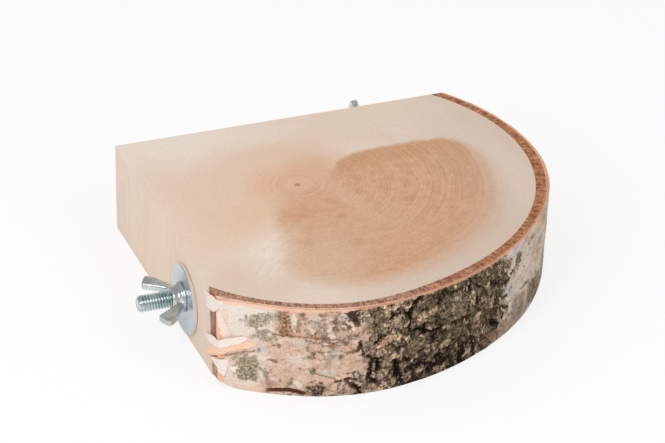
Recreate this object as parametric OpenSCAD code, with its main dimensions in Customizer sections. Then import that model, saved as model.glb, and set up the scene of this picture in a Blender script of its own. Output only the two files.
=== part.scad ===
// Corner bird perch: a quarter-cut slice of a birch log with its bark on,
// held to a cage by two studs, each with a wide washer and a wing nut.
// Millimetres. The origin is on the bottom face at the log's centre,
// X to the right along the back sawn face, Y to the back, Z up.

/* [Log slice] */
// height of the slice, bottom face to top face
slab_thickness = 33; // [25:0.5:45]
// distance from the log's centre to the left sawn face
left_face_distance = 53.5; // [40:0.5:70]
// distance from the log's centre to the back sawn face
back_face_distance = 50; // [40:0.5:70]
// radius of the wood under the bark, away from its bulges
wood_radius = 79.6; // [70:0.1:90]
// height of the bulge at the front of the log
front_bulge_height = 3.8; // [0:0.1:8]
// direction of the front bulge, in degrees from the X axis
front_bulge_angle = -99; // [-120:1:-80]
// spread of the front bulge in degrees
front_bulge_spread = 20.5; // [10:0.5:40]
// height of the wide bulge at the right back of the log
back_bulge_height = 3.5; // [0:0.1:8]
// direction of the back bulge
back_bulge_angle = 36.5; // [0:0.5:60]
// spread of the back bulge in degrees
back_bulge_spread = 54.5; // [20:0.5:80]
// depth of the hollow where the wood meets the left face
corner_hollow_depth = 2.7; // [0:0.1:5]
// direction of the corner hollow
corner_hollow_angle = -138; // [-145:1:-130]
// spread of the corner hollow in degrees
corner_hollow_spread = 9.9; // [5:0.1:20]
// lean of the log in the slice: its bottom lies further to the left
log_lean = 3.3; // [0:0.1:6]

/* [Bark layers] */
// thickness of the brown inner bark
inner_bark_thickness = 2.8; // [1.5:0.1:6]
// extra inner bark at its two thick places
inner_bark_swelling_height = 1; // [0:0.1:2]
// direction of the thick place at the front
front_swelling_angle = -77; // [-90:1:-60]
// direction of the thick place at the right
right_swelling_angle = -9; // [-20:1:10]
// spread of each thick place in degrees
swelling_spread = 18; // [8:1:30]
// extra inner bark and cork where the bark meets the left face
end_swelling_height = 1.3; // [0:0.1:3]
// direction of the swelling at the left face
end_swelling_angle = -132; // [-140:1:-125]
// spread of the swelling at the left face
end_swelling_spread = 6; // [3:0.5:12]
// thickness of the salmon cork layer
cork_thickness = 0.6; // [0.3:0.1:2]
// thickness of the white outer bark where it is smooth
outer_bark_thickness = 0.7; // [0.4:0.1:2]
// share of that thickness left on the right end
right_end_thickness_share = 0.5; // [0.3:0.05:1]
// height of the rough plates on the outer bark
plate_height = 1.1; // [0:0.1:3]
// height of the small ripples on the outer bark
ripple_height = 0.2; // [0:0.05:1]
// height from one small ripple to the next up the log
ripple_short_pitch = 9.1; // [5:0.1:20]
// height over which the ripples come and go
ripple_long_pitch = 23; // [12:0.5:50]
// height of the worn lower corner of the bark at the left face
worn_corner_height = 1.7; // [0:0.1:5]

/* [Rough part of the bark] */
// where the smooth bark at the left starts to roughen
rough_start_angle = -119; // [-130:1:-110]
// where the bark is fully rough
rough_full_angle = -98; // [-110:1:-80]
// where the rough bark starts to fade at the right
rough_fade_angle = -52; // [-70:1:-40]
// where the bark is smoother again at the right
rough_end_angle = -34; // [-40:1:-10]
// share of the plate height left on the right end
right_end_plate_share = 0.25; // [0:0.05:1]
// angle from one plate to the next round the log
plate_angle_pitch = 9; // [6:0.5:20]
// height from one plate to the next up the log
plate_height_pitch = 14; // [8:0.5:30]

/* [Peeled pieces] */
// thickness of each peeled piece of bark
peel_thickness = 0.6; // [0.3:0.1:1.5]
// width of the peeled zone, measured across the left corner
peel_zone_width = 26; // [20:1:40]
// how far the free ends stand off the left face
peel_lift_height = 0.9; // [0:0.1:3]
// length of each free end that stands off
peel_lift_length = 6; // [2:0.5:10]

/* [Studs] */
// outside diameter of the stud's thread
stud_diameter = 6; // [4:0.5:10]
// thread pitch
stud_pitch = 1; // [0.7:0.05:1.5]
// depth of the thread grooves
thread_depth = 0.6; // [0.3:0.05:0.8]
// how far the studs stand out of the wood
stud_projection = 17.5; // [12:0.5:40]
// length at the stud's end that carries finer thread rings
stud_free_length = 5; // [3:0.5:10]
// height of the end chamfer
stud_chamfer = 0.8; // [0.2:0.1:1.5]
// height of the left stud's axis over the bottom face
left_stud_height = 15.5; // [10:0.5:25]
// height of the back stud's axis over the bottom face
back_stud_height = 16; // [10:0.5:25]
// place of the left stud along Y
left_stud_y = -31; // [-45:0.5:30]
// place of the back stud along X
back_stud_x = 40.5; // [-30:0.5:50]
// length of the screw end inside the wood
screw_length = 28; // [15:1:40]
// distance between the ridges of the screw end
screw_pitch = 2.5; // [1.5:0.1:4]
// core diameter of the screw end
screw_core_diameter = 4.4; // [3:0.1:6]
// length of the screw's point
screw_point_length = 4; // [2:0.5:8]

/* [Washers] */
// outside diameter of the washers
washer_diameter = 25; // [12:0.5:40]
// thickness of the washers
washer_thickness = 1.5; // [0.8:0.1:3]
// radial room between a stud and its washer's hole
washer_hole_clearance = 1.1; // [0.2:0.05:2]
// gap left where a loose washer hangs down on its stud
washer_rest_gap = 0.1; // [0.02:0.01:0.2]
// rounding of the washers' outer edges
washer_edge = 0.25; // [0:0.05:0.6]

/* [Wing nuts] */
// radial clearance between the stud and the nut's thread
thread_clearance = 0.05; // [0.02:0.01:0.1]
// diameter of the nut's foot
nut_foot_diameter = 10.8; // [8:0.2:16]
// diameter of the nut's top
nut_top_diameter = 8.2; // [7:0.1:14]
// height of the nut's body
nut_body_height = 4.4; // [3:0.1:10]
// height of the straight part of the foot
nut_foot_height = 1.2; // [0.2:0.1:3]
// chamfer at the mouths of the nut's hole
nut_mouth_chamfer = 0.5; // [0.1:0.1:1]
// distance between the wing tips
wing_span = 28.2; // [18:0.1:40]
// height of the wings over the nut's foot
wing_height = 11.4; // [7:0.1:16]
// thickness of the wings
wing_thickness = 2.4; // [1.5:0.1:5]
// turn of the left wings from level
left_wing_turn = -5.5; // [-90:0.5:90]
// turn of the back wings from upright
back_wing_turn = 0; // [-90:1:90]

/* [Hidden] */
$fn = 96;
angle_step = 1.25;
angle_overrun_steps = 4;
// The outlines start behind the left face and end behind the back face.
angle_start = angle_step
    * (round((acos(left_face_distance / wood_radius) - 180) / angle_step) - angle_overrun_steps);
angle_end = angle_step
    * (round(asin(back_face_distance / wood_radius) / angle_step) + 1);
column_count = (angle_end - angle_start) / angle_step + 1;
level_count = 18;
level_step = slab_thickness / level_count;
past_the_log = 2 * wood_radius;
cut_margin = 1;
lean_margin = 15;
right_thin_start_angle = -20;
right_thin_end_angle = -2;
sheet_column_count = 20;
stud_radius = stud_diameter / 2;
thread_root_radius = stud_radius - thread_depth;
groove_share = 0.44;
fine_groove_share = 0.24;
fine_depth_share = 0.4;
chamfer_radius = stud_radius - stud_chamfer;
screw_core_radius = screw_core_diameter / 2;
ridge_share = 0.3;
furrow_share = 0.18;
worn_start_share = -0.088;
worn_top_share = 0.212;
worn_end_share = 0.472;
// distance across the corner from its middle line to where the wood ends
corner_distance =
    (sqrt(pow(wood_radius, 2) - pow(left_face_distance, 2)) - left_face_distance) / sqrt(2);
washer_radius = washer_diameter / 2;
washer_hole_radius = stud_radius + washer_hole_clearance;
washer_drop = washer_hole_clearance - washer_rest_gap;
nut_hole_radius = stud_radius + thread_clearance;
nut_mouth_radius = nut_hole_radius + nut_mouth_chamfer;
wing_radius = wing_span / 2;
wing_corner_radius = wing_thickness * 0.42;
ring_count = floor((stud_projection - stud_free_length) / stud_pitch);
fine_ring_count = floor((stud_free_length - stud_chamfer) / stud_pitch);
ridge_count = floor((screw_length - screw_point_length) / screw_pitch) - 1;

// Outlines are shares of the peeled zone's width and of the slice's height.
upper_flap_shares = [
    [0.252, 1.00], [-0.058, 0.965], [-0.073, 0.79], [0.052, 0.815],
    [0.182, 0.87], [0.312, 0.885], [0.372, 0.93], [0.352, 1.00]
];
middle_strip_shares = [
    [-0.073, 0.485], [-0.063, 0.40], [0.042, 0.415], [0.162, 0.445],
    [0.272, 0.49], [0.362, 0.50], [0.482, 0.545], [0.582, 0.585],
    [0.592, 0.63], [0.472, 0.62], [0.352, 0.60], [0.132, 0.535]
];
torn_strip_shares = [
    [-0.058, 0.32], [-0.053, 0.205], [0.022, 0.27], [0.112, 0.315],
    [0.282, 0.40], [0.462, 0.455], [0.702, 0.525], [0.642, 0.57],
    [0.587, 0.575], [0.482, 0.535], [0.362, 0.49], [0.272, 0.48],
    [0.162, 0.435], [0.042, 0.405]
];
lower_chip_shares = [
    [0.022, 0.25], [0.162, 0.305], [0.322, 0.34], [0.337, 0.29],
    [0.312, 0.21], [0.292, 0.13], [0.172, 0.175]
];
torn_edge_shares = [
    [0.222, 1.05], [0.232, 1.00], [0.212, 0.90], [0.272, 0.79],
    [0.322, 0.68], [0.382, 0.60], [0.372, 0.50], [0.402, 0.44],
    [0.292, 0.36], [0.252, 0.26], [0.267, 0.16], [0.242, 0.08],
    [0.312, -0.05]
];
// Wing profile: shares of the wing radius and of the wing height.
wing_profile_shares = [
    [0.24, 0.08], [0.36, 0.09], [0.49, 0.19], [0.60, 0.26],
    [0.68, 0.33], [0.77, 0.41], [0.86, 0.51], [0.94, 0.63],
    [0.99, 0.72], [1.00, 0.765], [0.985, 0.81], [0.92, 0.87],
    [0.83, 0.93], [0.75, 0.98], [0.71, 1.00], [0.68, 0.985],
    [0.64, 0.92], [0.58, 0.79], [0.52, 0.66], [0.48, 0.57],
    [0.42, 0.46], [0.36, 0.37], [0.31, 0.33], [0.24, 0.31]
];

function bulge(angle, height, centre, spread) =
    height * exp(-pow((angle - centre) / spread, 2));

function ramp(value, low, high) =
    min(1, max(0, (value - low) / (high - low)));

function wood_edge(angle) =
    wood_radius
    + bulge(angle, front_bulge_height, front_bulge_angle, front_bulge_spread)
    + bulge(angle, back_bulge_height, back_bulge_angle, back_bulge_spread)
    - bulge(angle, corner_hollow_depth, corner_hollow_angle, corner_hollow_spread);

function inner_bark_edge(angle) =
    wood_edge(angle)
    + inner_bark_thickness
    + bulge(angle, inner_bark_swelling_height, front_swelling_angle, swelling_spread)
    + bulge(angle, inner_bark_swelling_height, right_swelling_angle, swelling_spread)
    + bulge(angle, end_swelling_height, end_swelling_angle, end_swelling_spread);

function cork_edge(angle) =
    inner_bark_edge(angle)
    + cork_thickness
    + bulge(angle, end_swelling_height, end_swelling_angle, end_swelling_spread);

function outer_bark_edge(angle) =
    cork_edge(angle)
    + outer_bark_thickness
    * (1 - (1 - right_end_thickness_share) * ramp(angle, right_thin_start_angle, right_thin_end_angle));

// How rough the bark is at an angle, from none to fully rough.
function roughness(angle) =
    ramp(angle, rough_start_angle, rough_full_angle)
    * (1 - (1 - right_end_plate_share) * ramp(angle, rough_fade_angle, rough_end_angle));

// Raised plates with furrows between them, and ripples on top.
function plate(angle, height) =
    ramp(
        sin(360 * angle / plate_angle_pitch + 70 * sin(360 * height / (plate_height_pitch * 2)))
        + 0.7 * sin(360 * height / plate_height_pitch + 95 * sin(360 * angle / (plate_angle_pitch * 5))),
        -0.9,
        0.6
    );

function ripple(angle, height) =
    sin(360 * height / ripple_short_pitch + 21 * angle)
    * sin(360 * height / ripple_long_pitch - 34 * angle);

function relief(angle, height) =
    roughness(angle)
    * (plate_height * (plate(angle, height) - furrow_share) + ripple_height * ripple(angle, height));

function column_angle(column) = angle_start + column * angle_step;
function ring_point(radius, angle) = [radius * cos(angle), radius * sin(angle)];
function wood_points() =
    [for (i = [0 : column_count - 1]) ring_point(wood_edge(column_angle(i)), column_angle(i))];
function inner_bark_points() =
    [for (i = [0 : column_count - 1]) ring_point(inner_bark_edge(column_angle(i)), column_angle(i))];
function cork_points() =
    [for (i = [0 : column_count - 1]) ring_point(cork_edge(column_angle(i)), column_angle(i))];
function reversed(points) =
    [for (i = [len(points) - 1 : -1 : 0]) points[i]];

// The quarter that both saw cuts leave.
module sawn_quarter() {
    translate([-left_face_distance, back_face_distance - 2 * past_the_log])
        square(2 * past_the_log);
}

// An outline of the log at the top face, carried down through the slice
// along the lean of the log.
module leaning() {
    intersection() {
        translate([0, 0, slab_thickness])
            rotate([0, log_lean, 0])
                translate([0, 0, -slab_thickness - lean_margin])
                    linear_extrude(height = slab_thickness + 2 * lean_margin)
                        children();
        translate([-past_the_log, -past_the_log, 0])
            cube([2 * past_the_log, 2 * past_the_log, slab_thickness]);
    }
}

// A point of the leaning log's surface.
function leaning_point(radius, angle, height) = [
    radius * cos(angle) / cos(log_lean) - (slab_thickness - height) * tan(log_lean),
    radius * sin(angle),
    height
];

module ring_layer(inside, outside) {
    intersection() {
        leaning()
            polygon(concat(outside, reversed(inside)));
        linear_extrude(height = slab_thickness)
            sawn_quarter();
    }
}

// A prism that looks at the left corner of the log. Its outline is in
// distances across the corner from the end of the wood and heights up the log.
module corner_prism(outline) {
    rotate([0, 0, -45])
        translate([corner_distance, 0, 0])
            rotate([90, 0, 0])
                linear_extrude(height = 2 * past_the_log)
                    polygon(outline);
}

function corner_outline(shares) =
    [for (s = shares) [s[0] * peel_zone_width, s[1] * slab_thickness]];

// The worn lower corner of the bark at the left face.
module worn_corner() {
    corner_prism([
        [worn_start_share * peel_zone_width, -cut_margin],
        [worn_start_share * peel_zone_width, 0],
        [worn_top_share * peel_zone_width, worn_corner_height],
        [worn_end_share * peel_zone_width, 0],
        [worn_end_share * peel_zone_width, -cut_margin]
    ]);
}

module wood_slab() {
    color([0.89, 0.80, 0.70])
        difference() {
            intersection() {
                leaning()
                    polygon(concat(wood_points(), [[-past_the_log, past_the_log]]));
                linear_extrude(height = slab_thickness)
                    sawn_quarter();
            }
            at_left_stud() screw_end();
            at_back_stud() screw_end();
        }
}

module inner_bark() {
    color([0.62, 0.42, 0.33])
        difference() {
            ring_layer(wood_points(), inner_bark_points());
            worn_corner();
        }
}

module cork_layer() {
    color([0.90, 0.66, 0.53])
        difference() {
            ring_layer(inner_bark_points(), cork_points());
            worn_corner();
        }
}

function outer_point(column, level) =
    let (
        angle = column_angle(column),
        height = level * level_step,
        radius = outer_bark_edge(angle) + relief(angle, height)
    )
    leaning_point(radius, angle, height);

function inner_point(column, height) =
    let (angle = column_angle(column))
    leaning_point(cork_edge(angle), angle, height);

module outer_bark_shell() {
    columns = column_count;
    levels = level_count + 1;
    last = columns - 1;
    bottom_row = columns * levels;
    top_row = bottom_row + columns;
    points = concat(
        [for (j = [0 : levels - 1]) for (i = [0 : last]) outer_point(i, j)],
        [for (i = [0 : last]) inner_point(i, 0)],
        [for (i = [0 : last]) inner_point(i, slab_thickness)]
    );
    outside = [for (j = [0 : levels - 2]) for (i = [0 : last - 1]) each [
        [j * columns + i, (j + 1) * columns + i + 1, j * columns + i + 1],
        [j * columns + i, (j + 1) * columns + i, (j + 1) * columns + i + 1]
    ]];
    inside = [for (i = [0 : last - 1])
        [bottom_row + i, bottom_row + i + 1, top_row + i + 1, top_row + i]
    ];
    underside = [for (i = [0 : last - 1])
        [i, i + 1, bottom_row + i + 1, bottom_row + i]
    ];
    upside = [for (i = [0 : last - 1])
        [
            (levels - 1) * columns + i,
            top_row + i,
            top_row + i + 1,
            (levels - 1) * columns + i + 1
        ]
    ];
    left_end = [concat(
        [bottom_row, top_row],
        [for (j = [levels - 1 : -1 : 0]) j * columns]
    )];
    right_end = [concat(
        [top_row + last, bottom_row + last],
        [for (j = [0 : levels - 1]) j * columns + last]
    )];
    polyhedron(points, concat(outside, inside, underside, upside, left_end, right_end));
}

module outer_bark() {
    color([0.80, 0.76, 0.71])
        difference() {
            intersection() {
                outer_bark_shell();
                linear_extrude(height = slab_thickness)
                    sawn_quarter();
            }
            corner_prism(concat(
                corner_outline(torn_edge_shares),
                [
                    [-past_the_log, -cut_margin],
                    [-past_the_log, slab_thickness + cut_margin]
                ]
            ));
            worn_corner();
        }
}

// A sheet of bark that lies on the outer bark, turns at the corner, lies on
// the left face and stands off it at the free end.
module peeled_sheet() {
    on_bark = [for (i = [0 : sheet_column_count])
        ring_point(outer_bark_edge(column_angle(i)), column_angle(i))];
    over_bark = [for (i = [0 : sheet_column_count])
        ring_point(outer_bark_edge(column_angle(i)) + peel_thickness, column_angle(i))];
    free_y = -sqrt(pow(wood_radius, 2) - pow(left_face_distance, 2)) + peel_thickness;
    union() {
        intersection() {
            leaning()
                polygon(concat(on_bark, reversed(over_bark)));
            translate([-left_face_distance, -past_the_log, 0])
                cube([past_the_log, past_the_log, slab_thickness]);
        }
        intersection() {
            leaning()
                polygon(concat([[0, 0]], over_bark));
            linear_extrude(height = slab_thickness)
                polygon([
                    [-left_face_distance - peel_lift_height - peel_thickness, free_y],
                    [-left_face_distance - peel_lift_height, free_y],
                    [-left_face_distance, free_y - peel_lift_length],
                    [-left_face_distance, -past_the_log],
                    [-left_face_distance - peel_thickness, -past_the_log],
                    [-left_face_distance - peel_thickness, free_y - peel_lift_length]
                ]);
        }
    }
}

module upper_bark_flap() {
    color([0.93, 0.90, 0.87])
        intersection() {
            peeled_sheet();
            corner_prism(corner_outline(upper_flap_shares));
        }
}

module middle_bark_strip() {
    color([0.93, 0.90, 0.86])
        intersection() {
            peeled_sheet();
            corner_prism(corner_outline(middle_strip_shares));
        }
}

module torn_bark_strip() {
    color([0.93, 0.68, 0.52])
        intersection() {
            peeled_sheet();
            corner_prism(corner_outline(torn_strip_shares));
        }
}

module lower_bark_chip() {
    color([0.92, 0.87, 0.83])
        intersection() {
            peeled_sheet();
            corner_prism(corner_outline(lower_chip_shares));
        }
}

// Places: each stands on its wood face with Z pointing out of the wood.
module at_left_stud() {
    translate([-left_face_distance, left_stud_y, left_stud_height])
        rotate([0, -90, 0])
            children();
}

module at_back_stud() {
    translate([back_stud_x, back_face_distance, back_stud_height])
        rotate([-90, 0, 0])
            children();
}

// The screw end of a hanger bolt, a core with ridges, inside the wood.
module screw_end() {
    first_ridge = -screw_length + screw_point_length;
    rotate_extrude()
        polygon(concat(
            [[0, 0], [0, -screw_length]],
            [[screw_core_radius, first_ridge]],
            [for (i = [0 : ridge_count - 1]) each [
                [screw_core_radius, first_ridge + (i + ridge_share) * screw_pitch],
                [stud_radius, first_ridge + (i + 2 * ridge_share) * screw_pitch],
                [screw_core_radius, first_ridge + (i + 3 * ridge_share) * screw_pitch]
            ]],
            [
                [screw_core_radius, first_ridge + (ridge_count + ridge_share) * screw_pitch],
                [stud_radius, first_ridge + (ridge_count + 2 * ridge_share) * screw_pitch],
                [stud_radius, 0]
            ]
        ));
}

// The threaded end that stands out of the wood, drawn as rings one pitch
// apart: deep ones under the nut, finer ones on the free end.
module stud_end() {
    fine_start = stud_projection - stud_free_length;
    fine_root = stud_radius - thread_depth * fine_depth_share;
    rotate_extrude()
        polygon(concat(
            [[0, 0], [stud_radius, 0]],
            [for (i = [0 : ring_count - 1]) each [
                [stud_radius, (i + 0.5 - groove_share) * stud_pitch],
                [thread_root_radius, (i + 0.5) * stud_pitch],
                [stud_radius, (i + 0.5 + groove_share) * stud_pitch]
            ]],
            [for (i = [0 : fine_ring_count - 1]) each [
                [stud_radius, fine_start + (i + 0.5 - fine_groove_share) * stud_pitch],
                [fine_root, fine_start + (i + 0.5) * stud_pitch],
                [stud_radius, fine_start + (i + 0.5 + fine_groove_share) * stud_pitch]
            ]],
            [
                [stud_radius, stud_projection - stud_chamfer],
                [chamfer_radius, stud_projection],
                [0, stud_projection]
            ]
        ));
}

module hanger_bolt() {
    color([0.66, 0.70, 0.71])
        union() {
            screw_end();
            stud_end();
        }
}

module washer() {
    color([0.76, 0.79, 0.81])
        rotate_extrude()
            polygon([
                [washer_hole_radius, 0],
                [washer_radius - washer_edge, 0],
                [washer_radius, washer_edge],
                [washer_radius, washer_thickness - washer_edge],
                [washer_radius - washer_edge, washer_thickness],
                [washer_hole_radius, washer_thickness]
            ]);
}

function wing_outline() =
    [for (s = wing_profile_shares) [s[0] * wing_radius, s[1] * wing_height]];

// One wing standing over the X axis, its tip corners rounded in plan.
module wing() {
    intersection() {
        translate([0, wing_thickness / 2, 0])
            rotate([90, 0, 0])
                linear_extrude(height = wing_thickness)
                    polygon(wing_outline());
        linear_extrude(height = wing_height)
            union() {
                translate([0, -wing_thickness / 2])
                    square([wing_radius - wing_corner_radius, wing_thickness]);
                translate([0, -wing_thickness / 2 + wing_corner_radius])
                    square([wing_radius, wing_thickness - 2 * wing_corner_radius]);
                translate([
                    wing_radius - wing_corner_radius,
                    wing_thickness / 2 - wing_corner_radius
                ])
                    circle(r = wing_corner_radius);
                translate([
                    wing_radius - wing_corner_radius,
                    -wing_thickness / 2 + wing_corner_radius
                ])
                    circle(r = wing_corner_radius);
            }
    }
}

module wing_nut() {
    color([0.72, 0.75, 0.76])
        difference() {
            union() {
                rotate_extrude()
                    polygon([
                        [0, 0],
                        [nut_foot_diameter / 2 - nut_mouth_chamfer / 2, 0],
                        [nut_foot_diameter / 2, nut_mouth_chamfer / 2],
                        [nut_foot_diameter / 2, nut_foot_height],
                        [nut_top_diameter / 2, nut_body_height - nut_mouth_chamfer],
                        [nut_top_diameter / 2 - nut_mouth_chamfer, nut_body_height],
                        [0, nut_body_height]
                    ]);
                wing();
                rotate([0, 0, 180])
                    wing();
            }
            rotate_extrude()
                polygon([
                    [0, -cut_margin],
                    [nut_mouth_radius + cut_margin, -cut_margin],
                    [nut_mouth_radius, 0],
                    [nut_hole_radius, nut_mouth_chamfer],
                    [nut_hole_radius, nut_body_height - nut_mouth_chamfer],
                    [nut_mouth_radius, nut_body_height],
                    [nut_mouth_radius, wing_height + cut_margin],
                    [0, wing_height + cut_margin]
                ]);
        }
}

module left_hanger_bolt() {
    at_left_stud() hanger_bolt();
}

module left_washer() {
    at_left_stud()
        translate([-washer_drop, 0, 0])
            washer();
}

module left_wing_nut() {
    at_left_stud()
        translate([0, 0, washer_thickness])
            rotate([0, 0, 90 + left_wing_turn])
                wing_nut();
}

module back_hanger_bolt() {
    at_back_stud() hanger_bolt();
}

module back_washer() {
    at_back_stud()
        translate([0, washer_drop, 0])
            washer();
}

module back_wing_nut() {
    at_back_stud()
        translate([0, 0, washer_thickness])
            rotate([0, 0, 90 + back_wing_turn])
                wing_nut();
}

wood_slab();
inner_bark();
cork_layer();
outer_bark();
upper_bark_flap();
middle_bark_strip();
torn_bark_strip();
lower_bark_chip();
left_hanger_bolt();
left_washer();
left_wing_nut();
back_hanger_bolt();
back_washer();
back_wing_nut();
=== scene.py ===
import math

import bpy
import bmesh
import numpy as np
from mathutils import Matrix, Vector


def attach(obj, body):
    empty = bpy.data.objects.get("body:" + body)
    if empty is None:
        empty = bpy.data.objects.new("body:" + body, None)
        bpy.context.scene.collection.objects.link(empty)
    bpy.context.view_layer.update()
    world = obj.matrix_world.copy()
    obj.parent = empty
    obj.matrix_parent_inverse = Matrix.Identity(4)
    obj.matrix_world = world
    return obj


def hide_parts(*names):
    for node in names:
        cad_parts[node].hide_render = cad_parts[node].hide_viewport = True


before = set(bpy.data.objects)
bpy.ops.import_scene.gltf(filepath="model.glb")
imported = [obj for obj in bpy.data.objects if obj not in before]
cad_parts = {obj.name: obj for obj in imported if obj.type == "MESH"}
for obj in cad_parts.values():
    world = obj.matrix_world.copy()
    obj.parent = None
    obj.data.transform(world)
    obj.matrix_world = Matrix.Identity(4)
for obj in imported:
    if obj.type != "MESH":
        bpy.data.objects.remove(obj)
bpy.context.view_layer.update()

# Lengths are in millimetres, as in the part's source; MM turns them into metres.
MM = 0.001


def add_object(name, data):
    made = bpy.data.objects.new(name, data)
    bpy.context.scene.collection.objects.link(made)
    return made


# Camera: the photograph's viewpoint
IMAGE_WIDTH = 665
SENSOR_WIDTH = 36
FOCAL_PIXELS = 4230.43
CAMERA_PLACE = (-431.6, -1224.8, 736.2)
CAMERA_AZIMUTH = math.radians(-19.85267)
CAMERA_ELEVATION = math.radians(28.92691)
CAMERA_ROLL = math.radians(0.18563)
CAMERA_FAR_END = 10


def make_camera():
    azimuth, elevation, roll = CAMERA_AZIMUTH, CAMERA_ELEVATION, CAMERA_ROLL
    forward = Vector((
        -math.sin(azimuth) * math.cos(elevation),
        math.cos(azimuth) * math.cos(elevation),
        -math.sin(elevation),
    ))
    level = Vector((math.cos(azimuth), math.sin(azimuth), 0))
    down = forward.cross(level)
    right = level * math.cos(roll) - down * math.sin(roll)
    down = level * math.sin(roll) + down * math.cos(roll)
    data = bpy.data.cameras.new("camera")
    data.sensor_width = SENSOR_WIDTH
    data.lens = FOCAL_PIXELS * SENSOR_WIDTH / IMAGE_WIDTH
    data.clip_end = CAMERA_FAR_END
    camera = add_object("camera", data)
    axes = Matrix((right, -down, -forward)).transposed().to_4x4()
    axes.translation = Vector(CAMERA_PLACE) * MM
    camera.matrix_world = axes
    bpy.context.scene.camera = camera


make_camera()


# Noise: all of it runs from about -1 to 1, and a number from 0 to 1 stands for each cell
TABLE_SIZE = 128
GRADIENT_GAIN = 1.5
OCTAVES_GAIN = 2.2


def smooth(value, low, high):
    share = np.clip((value - low) / (high - low), 0, 1)
    return share * share * (3 - 2 * share)


def bell(value, centre, spread):
    return np.exp(-((value - centre) / spread) ** 2)


def gradient_noise(x, y, seed):
    turn = np.random.default_rng(seed).random((TABLE_SIZE, TABLE_SIZE)) * 2 * np.pi
    table_x, table_y = np.cos(turn), np.sin(turn)
    column, row = np.floor(x).astype(int), np.floor(y).astype(int)
    fx, fy = x - column, y - row

    def corner(i, j):
        a, b = (column + i) % TABLE_SIZE, (row + j) % TABLE_SIZE
        return table_x[a, b] * (fx - i) + table_y[a, b] * (fy - j)

    u, v = (f ** 3 * (f * (f * 6 - 15) + 10) for f in (fx, fy))
    low, high = (corner(0, j) * (1 - u) + corner(1, j) * u for j in (0, 1))
    return GRADIENT_GAIN * (low * (1 - v) + high * v)


def fbm(x, y, seed, octaves=4, keep=0.55):
    """Noise in octaves, each at half the size and a share of the strength of the one before."""
    total, weight, size = 0, 0, 1.0
    for octave in range(octaves):
        total = total + size * gradient_noise(x * 2 ** octave, y * 2 ** octave, seed + octave)
        weight += size
        size *= keep
    return OCTAVES_GAIN * total / weight


def cell_numbers(x, y, seed):
    """The own number of the nearest of many scattered points."""
    rng = np.random.default_rng(seed)
    jitter_x, jitter_y, own = rng.random((3, TABLE_SIZE, TABLE_SIZE))
    column, row = np.floor(x).astype(int), np.floor(y).astype(int)
    nearest, number = np.full(x.shape, np.inf), np.zeros(x.shape)
    for i in (-1, 0, 1):
        for j in (-1, 0, 1):
            a, b = (column + i) % TABLE_SIZE, (row + j) % TABLE_SIZE
            gap = np.hypot(column + i + jitter_x[a, b] - x, row + j + jitter_y[a, b] - y)
            number = np.where(gap < nearest, own[a, b], number)
            nearest = np.minimum(nearest, gap)
    return number


# The log's outlines, as in the part's source
SLAB = 33
LEFT = 53.5
BACK = 50
WOOD_RADIUS = 79.6
INNER_BARK = 2.8
CORK = 0.6
OUTER_BARK = 0.7
LEAN = math.radians(3.3)
PEEL_WIDTH = 26
PEEL = 0.6
CORNER = (math.sqrt(WOOD_RADIUS ** 2 - LEFT ** 2) - LEFT) / math.sqrt(2)
MM_PER_DEGREE = 1.5
# bulges of the wood and of the layers of bark over it: height, direction, spread
WOOD_BULGES = [(3.8, -99, 20.5), (3.5, 36.5, 54.5), (-2.7, -138, 9.9)]
BARK_BULGES = [(1, -77, 18), (1, -9, 18), (2 * 1.3, -132, 6)]


def bulges(angle, table):
    return sum(height * bell(angle, centre, spread) for height, centre, spread in table)


def ramp(value, low, high):
    return np.clip((value - low) / (high - low), 0, 1)


def cork_edge(angle):
    return WOOD_RADIUS + INNER_BARK + CORK + bulges(angle, WOOD_BULGES + BARK_BULGES)


def outer_edge(angle):
    return cork_edge(angle) + OUTER_BARK * (1 - 0.5 * ramp(angle, -20, -2))


def on_log(radius, angle, height):
    turn = np.radians(angle)
    x = radius * np.cos(turn) / math.cos(LEAN) - (SLAB - height) * math.tan(LEAN)
    return np.stack([x, radius * np.sin(turn), height + 0 * x], -1)


def across_corner(point):
    return (point[..., 0] - point[..., 1]) / math.sqrt(2) - CORNER


def wave(turns, swing):
    return np.sin(np.radians(360 * turns + swing))


def plates(angle, height):
    """The part's own plates and furrows, where its bark is rough."""
    upright = wave(angle / 9, 70 * wave(height / 28, 0))
    level = wave(height / 14, 95 * wave(angle / 45, 0))
    ripple = wave(height / 9.1, 21 * angle) * wave(height / 23, -34 * angle)
    rough = ramp(angle, -119, -98) * (1 - 0.75 * ramp(angle, -52, -34))
    return rough * (1.1 * (ramp(upright + 0.7 * level, -0.9, 0.6) - 0.18) + 0.2 * ripple)


# Bark colours, as seen on the log
TONES = {
    "white": (238, 229, 221), "cream": (231, 218, 206), "peach": (219, 186, 165),
    "pink": (221, 176, 152), "orange": (238, 180, 145), "blue": (197, 197, 198),
    "olive": (130, 117, 90), "moss": (98, 88, 64), "lichen": (148, 137, 113),
    "scab": (150, 104, 78), "beige": (180, 157, 131), "tan": (196, 160, 130),
    "dark": (58, 47, 35), "black": (20, 13, 8), "sliver": (98, 58, 42),
    "brown": (148, 112, 88), "grey": (146, 140, 128), "pale": (203, 192, 179),
    "rosy": (186, 150, 130),
}

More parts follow.
